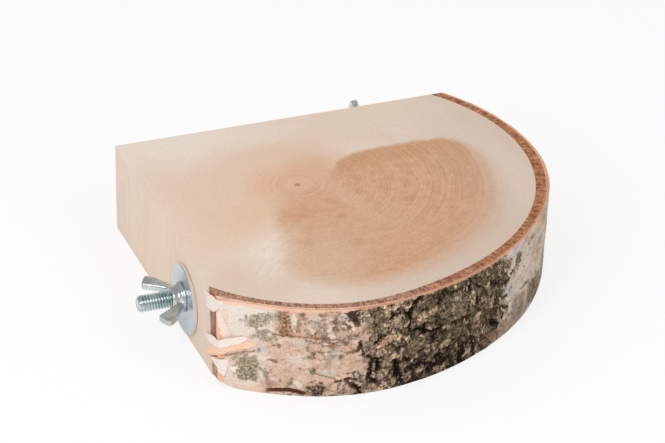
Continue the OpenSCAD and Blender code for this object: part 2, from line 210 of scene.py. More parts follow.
# Patches on the bark: direction in degrees, height, half width, half height,
# tilt in degrees, colour, strength, raised height, softness of the edge
PATCHES = [
    # the papery left end
    (-119.6, 27.2, 4.8, 2.9, 10, "lichen", 0.95, 0, 1), (-121.4, 26.4, 2.2, 1.4, 12, "olive", 0.4, 0, 1.2),
    (-117.9, 22.2, 3.4, 2, -18, "lichen", 0.85, 0, 1.2), (-116, 29.2, 2.2, 2.4, 0, "grey", 0.55, 0, 1.4),
    (-117.3, 23.6, 2, 0.8, 8, "grey", 0.8, 0, 0.6), (-120.6, 20.6, 1.2, 1.2, 20, "lichen", 0.6, 0, 0.8),
    (-127.4, 24, 1.6, 5, 8, "orange", 0.65, 0, 0.9), (-126.6, 21.3, 0.5, 0.7, 0, "brown", 0.8, 0, 0.4),
    (-117.2, 25.6, 2.8, 0.5, 0, "peach", 0.7, 0, 0.5),
    # the rusty scab and what lies right of it
    (-113.4, 28, 2, 4.3, 0, "scab", 0.92, 0.2, 0.7), (-113.9, 24.6, 1.8, 1, 0, "scab", 0.8, 0.15, 0.7),
    (-111.4, 29, 0.9, 3.2, 0, "cream", 0.85, 0.1, 0.4),
    (-107.4, 26.2, 1.6, 2.4, 0, (222, 196, 180), 0.9, 0.25, 0.4),
    (-110.3, 27, 0.7, 2.6, 0, "olive", 0.6, 0, 0.5), (-109.7, 30.2, 1.8, 1.2, 0, "brown", 0.5, 0, 0.8),
    (-106.6, 27.2, 1.4, 1.2, 0, "grey", 0.7, 0, 0.7), (-104.4, 26.2, 0.9, 1.8, 0, "olive", 0.6, 0, 0.6),
    (-105.7, 23.8, 1.3, 1.3, 0, "tan", 0.9, 0.35, 0.4),
    (-100.8, 30, 1.7, 1.4, -30, (212, 196, 188), 0.85, 0.15, 0.8),
    (-103.2, 24.6, 1.2, 1.6, 0, "cream", 0.6, 0.1, 0.6),
    (-100.8, 24.2, 1.6, 1.6, 0, "peach", 0.7, 0.15, 0.6),
    # the broad peach field
    (-104, 20.4, 1.6, 0.5, 0, "cream", 0.9, 0.2, 0.3),
    (-102.2, 19.5, 1.6, 1.4, 40, "brown", 0.7, -0.1, 0.6), (-118.6, 16.6, 1.6, 2.4, 25, "blue", 0.75, 0, 1),
    (-119, 15.6, 0.5, 1, 10, "grey", 0.9, -0.1, 0.4), (-114.3, 18.6, 0.7, 0.9, 0, "olive", 0.8, 0, 0.5),
    (-115.2, 12.8, 0.7, 0.7, 0, "brown", 0.75, 0, 0.5), (-109.5, 20.4, 1.8, 1.6, 0, "pale", 0.7, 0.1, 0.6),
    (-110.5, 14, 3.2, 2.2, 0, "cream", 0.45, 0.1, 1.2), (-106.5, 19.2, 2, 1.7, 0, "peach", 0.8, 0.2, 0.5),
    (-105.6, 15.9, 1.6, 1.2, -40, "peach", 0.8, 0.15, 0.5),
    (-106.6, 9.6, 1.3, 1, -25, "olive", 0.85, -0.15, 0.4), (-102, 17, 1.9, 1.5, 0, "blue", 0.7, 0.1, 0.8),
    (-103.4, 13.2, 0.6, 2.4, -15, "lichen", 0.6, -0.05, 0.6),
    (-103.2, 8.8, 1.8, 1.6, -20, "blue", 0.6, 0, 0.9), (-98.6, 12.4, 1.8, 2.8, 15, "tan", 0.6, 0.1, 1),
    (-117.3, 7.2, 0.7, 1.6, 15, "grey", 0.8, -0.05, 0.6), (-115.6, 4, 1.6, 1.2, 20, "brown", 0.55, 0, 0.8),
    (-111.6, 5, 0.7, 1.6, -30, "olive", 0.7, 0, 0.6), (-109.6, 4.8, 1, 1.4, 30, "cream", 0.7, 0.1, 0.6),
    # the lower left
    (-121.3, 8.8, 5, 5.4, -8, (138, 127, 100), 0.92, 0, 1.4),
    (-120.8, 6.8, 2, 2.8, -20, "moss", 0.3, 0, 1.4), (-124.2, 12, 1.4, 1, 20, "olive", 0.7, 0, 0.8),
    (-118.6, 8.4, 0.9, 1.6, 0, "blue", 0.6, 0, 1), (-124.8, 7.8, 1.2, 0.9, -10, "white", 0.9, 0.2, 0.3),
    (-118.2, 13.2, 1.8, 1.3, 0, "cream", 0.7, 0.05, 0.8),
    (-121, 1.2, 6.5, 0.9, 2, "peach", 0.85, 0.05, 0.6), (-126.9, 4.2, 0.9, 2.6, -18, "orange", 0.7, 0, 0.5),
    (-105.4, 3, 2.9, 2.3, -15, "dark", 0.9, -0.2, 0.7), (-108, 1.6, 1.2, 1, 0, "olive", 0.7, -0.1, 0.6),
    (-101.3, 3.6, 1.9, 1.8, 0, "peach", 0.85, 0.2, 0.4), (-101, 3.4, 0.4, 1.4, 0, "moss", 0.7, -0.2, 0.3),
    (-99, 6, 0.7, 1.4, 10, "dark", 0.8, -0.3, 0.4), (-97, 8, 0.8, 1.4, 20, "peach", 0.8, 0.2, 0.4),
    (-95.6, 6.2, 0.9, 1, 0, "rosy", 0.9, 0.2, 0.4),
    # the dark spot at the top
    (-98.6, 30.6, 2.2, 2.4, -20, "dark", 0.9, -0.35, 0.6),
    (-97.6, 27.8, 1, 1.3, 0, "dark", 0.75, -0.3, 0.6), (-95.2, 26, 1.6, 1.4, 10, "lichen", 0.7, 0.1, 0.6),
    (-92.6, 29.6, 1.4, 1, -20, "beige", 0.75, 0.2, 0.5), (-91, 23, 1.2, 1, 20, "beige", 0.8, 0.2, 0.4),
    (-99.8, 27.4, 1.8, 0.7, -60, "moss", 0.7, -0.2, 0.5),
    (-96.8, 18, 0.7, 2.2, -12, "dark", 0.85, -0.3, 0.4),
    # the middle, plate by plate
    (-93, 30.6, 2, 1.6, 0, "olive", 0.6, 0, 0.8), (-94.6, 31.4, 0.6, 1, 30, "rosy", 0.8, 0.1, 0.4),
    (-95, 28.6, 2, 0.9, -10, "grey", 0.8, 0.1, 0.6), (-92, 27.6, 1.8, 1.4, 0, "moss", 0.7, -0.1, 0.8),
    (-88.4, 26, 2.5, 2.9, -20, (184, 160, 134), 0.95, 0.35, 0.4),
    (-87.6, 24, 1, 1.4, 0, "beige", 0.8, 0.3, 0.4), (-92, 24.4, 1.6, 1.2, 0, "olive", 0.6, 0.1, 0.6),
    (-90.4, 19.2, 2.2, 2.2, -35, "tan", 1, 0.45, 0.3), (-93.6, 21, 1.2, 1, 0, "beige", 0.8, 0.2, 0.5),
    (-94, 15.6, 2.1, 1.2, -15, "rosy", 0.95, 0.35, 0.4),
    (-92.2, 14.8, 1.2, 1.2, 0, "peach", 0.8, 0.35, 0.4),
    (-90.7, 11.2, 0.9, 2.1, -10, "rosy", 0.95, 0.35, 0.3),
    (-88.8, 9.8, 0.9, 0.7, 0, "beige", 0.8, 0.2, 0.4), (-86.9, 13.4, 0.5, 3.6, 0, "rosy", 0.95, 0.3, 0.25),
    (-84.4, 25.8, 0.6, 2.4, 10, "rosy", 0.9, 0.35, 0.3), (-84.4, 22.4, 0.6, 1.8, 0, "rosy", 0.85, 0.3, 0.3),
    (-85.9, 21.4, 0.5, 1.2, 20, "rosy", 0.7, 0.2, 0.3),
    (-83.6, 14.6, 2.3, 3.2, 0, (164, 146, 114), 0.9, 0.3, 0.6),
    (-82.6, 13.8, 1.2, 1.4, -30, "beige", 0.7, 0.25, 0.5), (-83, 18.6, 1.4, 1, 20, "olive", 0.8, 0.2, 0.5),
    (-80.2, 11.6, 1, 1.9, 10, "rosy", 0.9, 0.3, 0.4), (-78.2, 8.3, 0.6, 0.7, 0, "rosy", 0.8, 0.2, 0.3),
    (-78, 5.8, 0.8, 0.5, -30, "beige", 0.6, 0.1, 0.3),
    (-72.6, 24.2, 5, 4.8, -20, (170, 153, 126), 0.88, 0.4, 0.9),
    (-76.4, 23.6, 1.4, 2.8, 10, "beige", 0.75, 0.35, 0.5),
    (-71.4, 20.4, 3, 2.2, 0, (166, 144, 116), 0.85, 0.4, 0.6),
    (-72.8, 27.2, 1.4, 1.1, -20, "pale", 0.7, 0.2, 0.6), (-73.2, 23, 0.6, 0.9, 0, "pale", 0.8, 0.1, 0.3),
    (-75, 19.8, 3, 0.9, -12, "olive", 0.7, 0.3, 0.5), (-69.4, 22, 0.6, 1.2, 10, "rosy", 0.8, 0.2, 0.4),
    (-69.6, 29.6, 0.5, 1.8, 8, "pale", 0.8, 0.3, 0.3), (-67.8, 28.8, 0.6, 0.8, 0, "rosy", 0.7, 0.2, 0.3),
    (-73, 15.6, 1.4, 2.4, 25, "olive", 0.75, 0.25, 0.5),
    (-71.8, 13.4, 1.2, 2, 20, "olive", 0.75, 0.25, 0.5), (-69.8, 14.2, 1, 2.2, 0, "olive", 0.7, 0.2, 0.5),
    (-74.2, 13.4, 0.8, 0.7, 0, "grey", 0.9, 0.2, 0.4), (-69.6, 10, 0.8, 0.8, 0, "beige", 0.7, 0.2, 0.4),
    (-67.4, 19.2, 1.4, 1, 0, "beige", 0.6, 0.2, 0.6), (-64.6, 19.4, 2.2, 0.9, -30, "beige", 0.65, 0.2, 0.5),
    (-62.6, 17.8, 2, 0.8, -30, "rosy", 0.65, 0.2, 0.5),
    (-60.2, 17.6, 1.6, 2.4, 10, "rosy", 0.95, 0.15, 0.4),
    (-65.6, 12, 2.4, 0.9, -28, "beige", 0.6, 0.2, 0.5), (-65, 9, 2.8, 1.3, -28, "beige", 0.6, 0.2, 0.7),
    (-61, 13, 1.4, 0.8, -30, "beige", 0.7, 0.2, 0.4), (-61.6, 8, 1.6, 0.7, -30, "beige", 0.7, 0.2, 0.4),
    (-60, 22.8, 1.6, 1.2, -30, "olive", 0.6, 0.1, 0.6), (-93.4, 2.6, 1.8, 1.2, 0, "rosy", 0.9, 0.25, 0.4),
    (-91, 3, 1.3, 0.9, 30, "peach", 0.85, 0.2, 0.4), (-92.2, 6.6, 1, 2, 0, "beige", 0.7, 0.2, 0.5),
    (-88.5, 3.2, 0.8, 1.9, 5, "beige", 0.95, 0.3, 0.3), (-86.2, 7.6, 1, 1.2, 30, "beige", 0.85, 0.25, 0.4),
    (-85, 3.4, 1.4, 1.6, -10, "rosy", 0.9, 0.3, 0.4), (-93, 0.7, 4.5, 0.8, 0, "peach", 0.8, 0.1, 0.4),
    (-79.6, 1.2, 3, 1, 0, "brown", 0.6, 0.1, 0.5), (-76, 1.6, 2.8, 1.3, -10, "rosy", 0.85, 0.2, 0.4),
    (-82.6, 3.6, 1.6, 2, 0, "moss", 0.7, 0, 0.8), (-66.4, 1.2, 2.6, 0.7, 0, "rosy", 0.7, 0.1, 0.4),
    (-64, 4.6, 1.4, 1.2, -30, "rosy", 0.7, 0.15, 0.5),
    (-60.8, 3.6, 3.4, 3, -25, (156, 122, 101), 0.75, 0.15, 0.7),
    (-56.8, 2.4, 4, 2, -12, (170, 132, 112), 0.9, 0.1, 0.5),
    (-54.6, 5.6, 1.8, 1.2, -25, (168, 134, 114), 0.85, 0.1, 0.5),
    # the paler right end
    (-36, 6.4, 9.5, 4.8, -14, (134, 114, 88), 0.75, 0, 1.6),
    (-46.8, 7.4, 5.5, 4.6, -20, (146, 126, 108), 0.65, 0, 1.3),
    (-26, 8, 6.5, 4.4, -45, (148, 136, 126), 0.6, 0, 1.6),
    (-30.5, 29.4, 8, 3.4, -8, (190, 154, 132), 0.7, 0, 1.6),
    (-51.5, 31, 6.5, 0.9, -3, "blue", 0.75, 0.05, 0.6), (-54.6, 28.8, 4, 1.9, -20, "moss", 0.85, -0.1, 0.8),
    (-48.6, 27.2, 3, 2.4, -38, (96, 86, 66), 0.9, -0.1, 0.8),
    (-49.6, 24.6, 2, 1.4, -25, "moss", 0.6, -0.1, 0.8), (-53.4, 25.4, 1.4, 1, -20, "rosy", 0.7, 0.1, 0.6),
    (-56.6, 21.6, 2.4, 3.6, -10, "dark", 0.75, -0.15, 1),
    (-52.2, 23.8, 0.8, 0.6, -30, "dark", 0.85, -0.15, 0.3),
    (-53.9, 18.6, 2.4, 2.2, -20, "blue", 0.8, 0.1, 0.8), (-50.4, 21.4, 1.6, 1.2, -30, "olive", 0.5, 0, 0.8),
    (-57.8, 13.6, 2.6, 2.2, -30, "dark", 0.75, -0.15, 0.9),
    (-54.4, 14, 2.4, 1, -30, "olive", 0.6, -0.05, 0.7), (-53.6, 9.4, 2, 0.8, -20, "olive", 0.6, -0.05, 0.6),
    (-41.2, 29.9, 1.3, 0.9, -35, "olive", 0.95, -0.1, 0.4),
    (-43.4, 28.9, 0.9, 0.5, -30, "olive", 0.7, -0.05, 0.4),
    (-44.5, 20.9, 0.9, 0.5, -35, "moss", 0.95, -0.1, 0.3), (-38, 22, 4.2, 2.4, -15, "rosy", 0.6, 0, 1.4),
    (-33, 22.4, 3.2, 1.4, -20, "brown", 0.5, 0, 1.2), (-34.5, 30, 4.2, 1.4, -25, "pink", 0.8, 0, 1.2),
    (-29.5, 28.6, 2.8, 0.9, -25, "brown", 0.5, 0, 0.9), (-43, 12.9, 5.2, 0.45, -4, "moss", 0.8, -0.1, 0.4),
    (-48.6, 7.4, 2.6, 2.6, -30, "grey", 0.7, 0, 1.2), (-45.4, 5.4, 2.6, 3, -30, "olive", 0.6, 0, 1.4),
    (-42, 8.4, 1.4, 1.8, -30, "pale", 0.6, 0.05, 0.8), (-36.5, 8.4, 4, 1.6, -38, "moss", 0.75, -0.1, 1),
    (-38, 5.2, 4.2, 1.4, -30, "olive", 0.7, 0, 1.2), (-32, 3.6, 3.4, 0.8, -30, "tan", 0.7, 0.05, 0.8),
    (-25.6, 9, 2.6, 1.1, -52, "grey", 0.8, -0.1, 0.9), (-26.5, 14, 3, 0.8, -45, "grey", 0.6, -0.1, 0.9),
    (-51, 3, 2.6, 1.6, -15, "tan", 0.7, 0.1, 0.7), (-56, 2, 0.3, 1.8, 8, "dark", 0.85, -0.2, 0.25),
    (-41, 1, 4, 0.9, 0, "pale", 0.6, 0.05, 0.6),
]

# Cracks, and a painted shadow under the torn strip: their course as directions and heights, then half width,
# colour, strength, depth
CRACKS_AND_PAINTED_SHADOW = [
    (((-116.5, 22.9), (-112, 22.8), (-108, 22.6), (-105, 22), (-98, 21.6)), 0.28, (150, 104, 80), 0.8, 0.2),
    (((-101, 31.8), (-99.6, 29.6), (-100, 28.2), (-98.6, 27), (-98.2, 25)), 0.3, "cream", 0.8, -0.15),
    # a painted shadow under the torn strip, not a crack
    (((-126.6, 12.4), (-123.2, 14), (-119.8, 15.6)), 0.4, (150, 112, 88), 0.65, 0.15),
    (((-107.5, 10.2), (-104.6, 8.2), (-101.5, 6.8)), 0.25, "olive", 0.7, 0.15),
    (((-101.6, 5.8), (-98.4, 6.6), (-95.4, 4.6)), 0.35, "dark", 0.85, 0.3),
    (((-96.6, 19.8), (-96, 16.5), (-95.8, 15)), 0.35, "dark", 0.85, 0.3),
    (((-94.6, 14.4), (-93.4, 12.8), (-94, 9), (-94.2, 5.6), (-92.8, 4.4)), 0.75, "black", 0.85, 0.6),
    (((-92.6, 12.6), (-92, 10), (-92.4, 8.4)), 0.6, "black", 0.9, 0.5),
    (((-98, 4.4), (-96.4, 2.4), (-96.2, 0.4)), 0.8, "black", 0.9, 0.45),
    (((-88.6, 11), (-87.6, 8.8), (-88, 6.4), (-86.8, 4.2), (-86.6, 2.4)), 0.95, "black", 0.95, 0.6),
    (((-88.4, 30.6), (-87.8, 28.8)), 0.4, "black", 0.85, 0.35),
    (((-82.6, 33), (-83.8, 31.4), (-85.2, 29.4), (-86.4, 28.6), (-85.4, 27.2)), 0.75, "black", 0.95, 0.55),
    (((-85.4, 27.2), (-85, 25), (-85.6, 22.4), (-85.2, 20.4)), 0.45, "black", 0.9, 0.45),
    (((-87, 18.8), (-85.8, 17), (-86, 15.8)), 0.4, "dark", 0.8, 0.3),
    (((-84.2, 20.8), (-82.6, 20.2), (-80.6, 18.8), (-79.6, 18.2), (-77.4, 18)), 0.42, "black", 0.95, 0.5),
    (((-76.6, 31.2), (-74.6, 30.2), (-71.6, 30.2)), 0.5, "dark", 0.85, 0.3),
    (((-69.4, 31), (-68.7, 29.4), (-68.4, 28)), 0.6, "black", 0.95, 0.55),
    (((-70.4, 18.4), (-68.6, 17.6), (-67.8, 18)), 0.4, "black", 0.85, 0.35),
    (((-71, 11.8), (-70.8, 9.4), (-70.6, 7.4)), 0.55, "black", 0.95, 0.5),
    (((-70.4, 5.6), (-70.2, 2.4), (-69.8, 0.6)), 0.5, "black", 0.85, 0.4),
    (((-58.3, 18.4), (-59, 17.4), (-58.5, 16)), 0.55, "black", 1, 0.7),
    (((-59.4, 9.8), (-58.4, 8.2), (-56.8, 7.2)), 0.75, "black", 0.9, 0.5),
    (((-65.6, 27.4), (-64.8, 26.6)), 0.5, "black", 0.8, 0.35),
    (((-66.6, 8.6), (-64.6, 5.6), (-63.6, 3.4)), 0.5, "dark", 0.8, 0.3),
    (((-57.6, 2.6), (-56.6, 3.8), (-58, 6)), 0.25, "dark", 0.8, 0.25),
    (((-36.6, 6), (-34, 4.4), (-31, 3)), 0.3, "sliver", 0.6, 0.1),
]

# Borders between the kinds of bark, as heights and directions
PEACH_END = [(0, -96.6), (5, -94.6), (10, -92.6), (15, -92.4), (20, -93.4), (25, -94.2), (33, -97)]
PALE_BEGIN = [(0, -60.5), (6, -56), (12, -53.8), (20, -54), (26, -54.4), (33, -56)]
PAPER_END = [(0, -118), (3, -118.5), (12, -117), (16, -118.5), (19, -119.5), (22, -116.4), (33, -116)]
# where the salmon of the cut edge begins, as directions and heights
EDGE_BEGIN = [(-125, 31.9), (-108, 32.1), (-98, 32.5), (-90, 32.75)]
# the dark strip at the foot, where a flake has come away
FOOT_STRIP = [(-117, 1.3), (-114, 2.0), (-111.5, 2.2), (-107.6, 1.1)]
# patches between these directions that stand higher than this are flakes, with a painted shadow round them
FLAKES_FROM, FLAKES_TO, FLAKE_HEIGHT = -108, -58, 0.12
# from this direction on, the painted shadow round flakes is darker
DARK_FLAKE_SHADOW_FROM = -98
LARGE_PATCH = 1.8
PATCH_SQUARENESS = 2.6
DARKEST, BRIGHTEST = 12, 250


def lay(colour, mask, tone):
    target = np.array(TONES[tone] if isinstance(tone, str) else tone, float)
    colour += (target - colour) * mask[..., None]


def coat(shape, tone):
    return np.full(shape + (3,), tone, float)


def near_line(s, z, course):
    best = np.full(s.shape, np.inf)
    points = [(a * MM_PER_DEGREE, h) for a, h in course]
    for (s0, z0), (s1, z1) in zip(points, points[1:]):
        run, rise = s1 - s0, z1 - z0
        share = np.clip(((s - s0) * run + (z - z0) * rise) / (run ** 2 + rise ** 2), 0, 1)
        best = np.minimum(best, np.hypot(s - s0 - share * run, z - z0 - share * rise))
    return best


def islands(u, v, seed, level, edge=0.12, octaves=5, keep=0.6):
    """Ragged islands: their mask, and how the light falls on their edges."""
    here = fbm(u, v, seed, octaves, keep)
    lit = np.clip((here - fbm(u + 0.07, v + 0.1, seed, octaves, keep)) * 2.2, -1, 1)
    return smooth(here, level, level + edge), lit


class Field:
    """Places on the bark, and what several of its layers share there."""

    def __init__(self, angle, z):
        self.angle, self.s, self.z = angle, angle * MM_PER_DEGREE, z
        self.broad, self.mid = self.noise(9, 9, 1), self.noise(3.2, 3.2, 11)
        self.fine, self.grit = self.noise(1.3, 1.3, 21), self.noise(0.7, 0.7, 31, 2)
        self.ragged = 0.5 * self.mid + 0.55 * self.fine + 0.35 * self.grit
        clump = 2 * cell_numbers((self.s + 0.5 * self.fine) / 1.9, (z + 0.5 * self.mid) / 1.5, 57) - 1
        ripped = 1.6 * self.ragged + 1.3 * clump + 2.4 * self.noise(2.2, 2.8, 251, 5, 0.6)
        self.left = smooth(self.border(PEACH_END) + ripped, -0.3, 0.3)
        swirl = 4.5 * fbm(self.s / 3.2, (z + 0.4 * self.s) / 2.8, 255, 5, 0.62)
        self.right = smooth(swirl - 1.2 * self.ragged - self.border(PALE_BEGIN), -0.6, 0.6)
        self.paper = smooth(self.border(PAPER_END) + 1.2 * self.ragged, -1.2, 1.2)
        self.dark = (1 - self.left) * (1 - self.right)
        # the furrows of the dark middle lean over towards the right
        self.slant = self.s + 0.7 * self.mid + 0.3 * self.fine
        self.level = z + 0.7 * self.noise(3, 3, 41)
        self.slant = self.slant + 0.45 * np.clip(angle + 72, 0, 20) / 20 * self.level

    def noise(self, wide, high, seed, octaves=4, keep=0.55):
        return fbm(self.s / wide, self.z / high, seed, octaves, keep)

    def crests(self, wide, high, seed, width, keep=0.6):
        # thin lines that wander through the noise
        return bell(self.noise(wide, high, seed, 5, keep), 0, width)

    def islands(self, wide, high, seed, level, edge=0.3):
        return islands(self.s / wide, self.z / high, seed, level, edge)[0]

    def border(self, points):
        return np.interp(self.z, *zip(*points)) - self.angle


def dark_bark(at):
    """Moss on dark ground, pale plates over it, small scales."""
    near_left = bell(at.angle, -89.5, 7)
    plated = bell(at.angle, -66, 6.5) * smooth(-at.z, -30, -24)
    foot = smooth(-at.z, -14, -3) * smooth(at.angle, -92, -84) * (1 - 0.7 * smooth(at.angle, -74, -64))
    head = smooth(at.z, 25, 32)
    u, v = at.slant / 4.4, at.level
    moss, moss_lit = islands(u, v / 5.6, 201, -0.42 + 0.5 * foot - 0.5 * head, 0.3)
    plate_level = 0.3 - 0.5 * near_left - 0.3 * plated + 0.35 * foot
    plate, plate_lit = islands(u, v / 5.4, 211, plate_level, keep=0.45)
    scale, scale_lit = islands(at.slant / 0.8, v / 1.1, 221, 0.7 - 0.25 * near_left)
    warm = 0.5 + 0.6 * at.noise(3.6, 3.6, 69)
    colour = coat(at.s.shape, (31, 22, 15))
    lay(colour, 0.88 * moss, (113, 98, 75))
    lay(colour, 0.6 * moss * smooth(at.noise(2.6, 3, 73), 0, 0.8), (132, 117, 90))
    lay(colour, 0.55 * scale, (144, 124, 103))
    lay(colour, (0.72 + 0.2 * np.maximum(near_left, plated)) * plate, (172, 149, 123))
    lay(colour, (0.3 + 0.4 * near_left) * plate * smooth(warm, 0.4, 0.9), (192, 163, 140))
    shade = 0.3 * moss_lit * moss + 0.42 * plate_lit * np.maximum(plate, moss) + 0.2 * scale_lit
    grain = 1 + 0.1 * at.grit + 0.14 * at.fine
    colour *= (np.clip(1 + shade, 0.45, 1.2) * grain)[..., None]
    return colour, 0.25 * moss + 0.35 * plate + 0.16 * scale + 0.05 * at.grit - 0.1


def peach_bark(at):
    """Flake over flake, and white paper at the far left."""
    z, fine, noise = at.z, at.fine, at.noise
    colour = coat(at.s.shape, (206, 175, 154))
    lay(colour, 0.5 * smooth(at.broad + 0.5 * at.mid, 0, 0.9), (224, 206, 192))
    lay(colour, 0.6 * smooth(-at.broad + 0.4 * fine, 0.2, 1), (222, 172, 146))
    lay(colour, 0.45 * smooth(noise(4, 4, 71) + 0.25 * fine, 0.4, 0.9), "blue")
    lay(colour, 0.4 * at.islands(4.2, 2.8, 231, 0.35), (232, 214, 200))
    lay(colour, 0.4 * at.islands(3.4, 2.6, 235, 0.45), (186, 156, 136))
    lay(colour, 0.3 * at.crests(5, 2.2, 245, 0.04), (136, 106, 84))
    lay(colour, 0.4 * smooth(fine + 0.3 * at.grit, 1.2, 1.5), (124, 102, 84))
    rough = smooth(at.angle, -112, -104) * (smooth(z, 9, 17) + smooth(-z, -6, -2)) + 0.3 * smooth(-z, -7, -3)
    soot = noise(3.6, 2, 81) + 0.25 * fine + 0.6 * rough
    lay(colour, 0.6 * smooth(soot, 0.45, 0.9), (156, 134, 114))
    lay(colour, 0.6 * smooth(soot + 0.5 * at.grit, 0.95, 1.2), (108, 92, 72))
    seam = at.crests(4.4, 2.4, 241, 0.05) * smooth(fine, -0.7, 0)
    lay(colour, (0.1 + 0.35 * rough) * seam, (104, 82, 64))
    white = coat(at.s.shape, (224, 211, 202))
    lay(white, 0.5 * smooth(-z + 2 * at.mid, -16, -11) * smooth(z, 8, 11), (204, 174, 152))
    lay(white, 0.3 * smooth(-z + 3 * at.broad, -26, -20), (208, 176, 154))
    lay(white, 0.35 * smooth(noise(8, 0.6, 91, 2), 0.4, 1), (206, 178, 158))
    lay(white, 0.25 * smooth(noise(4, 0.6, 95, 2), 0.5, 1), "pale")
    colour += (white - colour) * at.paper[..., None]
    lift = 0.14 * smooth(at.mid, -0.04, 0.08) + 0.09 * smooth(fine, -0.04, 0.12) + 0.03 * at.grit
    return colour, lift + at.paper * (0.04 * noise(7, 0.8, 97, 2) - lift * 0.7)


def pale_bark(at):
    """Long streaks that run round the log, and the dark slits that a birch has where it is white."""
    s, z, noise = at.s, at.z, at.noise
    colour = coat(s.shape, (204, 188, 172))
    lay(colour, 0.6 * smooth(noise(8, 5, 101) + 0.2 * at.mid, 0.1, 0.8), "blue")
    lay(colour, 0.65 * smooth(noise(7, 4, 105) + 0.2 * at.mid, 0.1, 0.8), "rosy")
    lay(colour, 0.45 * smooth(fbm((s + z) / 6, (z - 0.4 * s) / 1.8, 109), 0.3, 0.9), "grey")
    lay(colour, 0.6 * smooth(noise(3.4, 2.2, 113) + 0.2 * at.grit, 0.85, 1.1), "olive")
    slit = smooth(noise(6.5, 1, 117, 2), 0.85, 1.05) * smooth(at.angle, -36, -20)
    lay(colour, 0.75 * slit, "moss")
    # painted shade: darker and browner towards the bottom
    lay(colour, 0.4 * smooth(-z + 2.5 * at.mid + 1.5 * at.broad, -9, -4), (120, 98, 78))
    colour *= (1 + 0.05 * at.broad)[..., None]
    return colour, 0.1 * at.fine + 0.05 * at.grit - 0.12 * slit


def lay_patches(at, colour, lift):
    spread = 1.1 * at.noise(3.4, 2, 261, 5, 0.62)
    for place, up, wide, high, tilt, tone, strength, raised, soft in PATCHES:
        ds, dz = at.s + 0.35 * at.mid - place * MM_PER_DEGREE, at.z + 0.3 * at.fine - up
        near = np.maximum(np.abs(ds), np.abs(dz)) < wide + high + 3
        turn, small = math.radians(tilt), min(wide, high)
        along = ds * math.cos(turn) + dz * math.sin(turn)
        over = dz * math.cos(turn) - ds * math.sin(turn)
        reach = np.abs(along / wide) ** PATCH_SQUARENESS + np.abs(over / high) ** PATCH_SQUARENESS
        beyond = (reach ** (1 / PATCH_SQUARENESS) - 1) * small
        beyond += (0.55 * min(small, 1.6) + 0.5 * soft) * at.ragged
        if small > LARGE_PATCH:
            beyond += spread
        mask = smooth(-beyond, -soft / 4, soft / 4) * near
        worn = (0.15 if soft < 0.7 else 0.75) * smooth(-0.7 * at.grit - 0.5 * at.fine, -0.06, 0.4)
        flake = raised > FLAKE_HEIGHT and FLAKES_FROM < place < FLAKES_TO
        if flake:
            # a painted shadow laid round the raised flake
            ground = (42, 32, 23) if place > DARK_FLAKE_SHADOW_FROM else (124, 98, 78)
            lay(colour, 0.6 * smooth(0.65 - beyond, 0, 0.5) * near, ground)
        lay(colour, strength * mask * (1 - worn), tone)
        if flake:
            # a painted highlight along the flake's edge on the right
            edge = bell(beyond, -0.22, 0.16) * smooth(ds / wide + 0.4 * dz / high, 0, 0.7) * near
            lay(colour, 0.55 * edge, (218, 194, 174))
        lift += raised * mask


def lay_pits(at, colour, lift):
    """Pits, flecks, and painted light and shade on flake edges, which go on over the patches."""
    peach = at.left * (1 - at.paper)
    pit = smooth(fbm(at.slant, at.level / 1.5, 121, 4, 0.65), 0.5, 0.72)
    pit *= 0.85 * at.dark + 0.04 * peach + 0.15 * at.right
    crevice = bell(fbm(at.slant / 4.2, at.level / 5.5, 125, 4, 0.6), 0, 0.035) * smooth(at.fine, -0.6, 0.2)
    lay(colour, np.maximum(pit, 0.8 * crevice * (at.dark + 0.07 * peach)), (24, 17, 11))
    lift -= 0.28 * pit + 0.2 * crevice * at.dark
    fleck = smooth(at.noise(0.55, 0.5, 131, 2), 0.78, 0.95)
    lay(colour, 0.5 * fleck * at.dark, (176, 158, 138))
    # painted light and shade on the edges of small flakes, strongest on the dark bark
    edge_lit = islands(at.s / 1.6, at.z / 1.6, 141, 0.3)[1]
    painted_edge_light = 0.06 * at.left * (1 - 0.75 * at.paper) + 0.14 * at.dark + 0.03 * at.right
    colour *= (1 + painted_edge_light * edge_lit)[..., None]


def lay_cracks_and_painted_shadow(at, colour, lift):
    for course, wide, tone, strength, depth in CRACKS_AND_PAINTED_SHADOW:
        beyond = near_line(at.s, at.z, course) + wide * 0.9 * at.ragged
        mask = smooth(wide * 1.1 - beyond, -wide * 0.35, wide * 0.35)
        mask *= smooth(at.mid + at.fine, -1.3, -0.5)
        lay(colour, strength * mask, tone)
        lift -= depth * mask
    strip = smooth(0.75 - near_line(at.s, at.z, FOOT_STRIP) - 0.12 * at.mid, -0.18, 0.18)
    strip *= smooth(117.6 + at.angle, 0, 2) * smooth(-107.4 - at.angle, 0, 1.2)
    lay(colour, 0.95 * strip, (88, 50, 36))
    lift -= 0.25 * strip


def lay_edges(at, colour):
    """Rust specks on the scab, salmon along the top edge, small light and dark grains all over."""
    spots = (np.abs(at.angle + 113.4) < 2.2) & (at.z > 23.5)
    lay(colour, 0.4 * spots * smooth(at.grit + 0.4 * at.fine, 0.3, 0.9), "sliver")
    lay(colour, 0.5 * spots * smooth(-at.grit, 0.3, 0.9), "tan")
    rim = np.interp(at.angle, *zip(*EDGE_BEGIN)) + 0.08 * at.fine
    lay(colour, 0.8 * smooth(at.z, rim - 0.1, rim + 0.2) * at.left, (230, 186, 162))
    lay(colour, 0.85 * smooth(at.z, rim, rim + 0.2) * (1 - at.left), (210, 162, 134))
    colour *= (1 + (0.03 - 0.02 * at.left) * at.grit)[..., None]


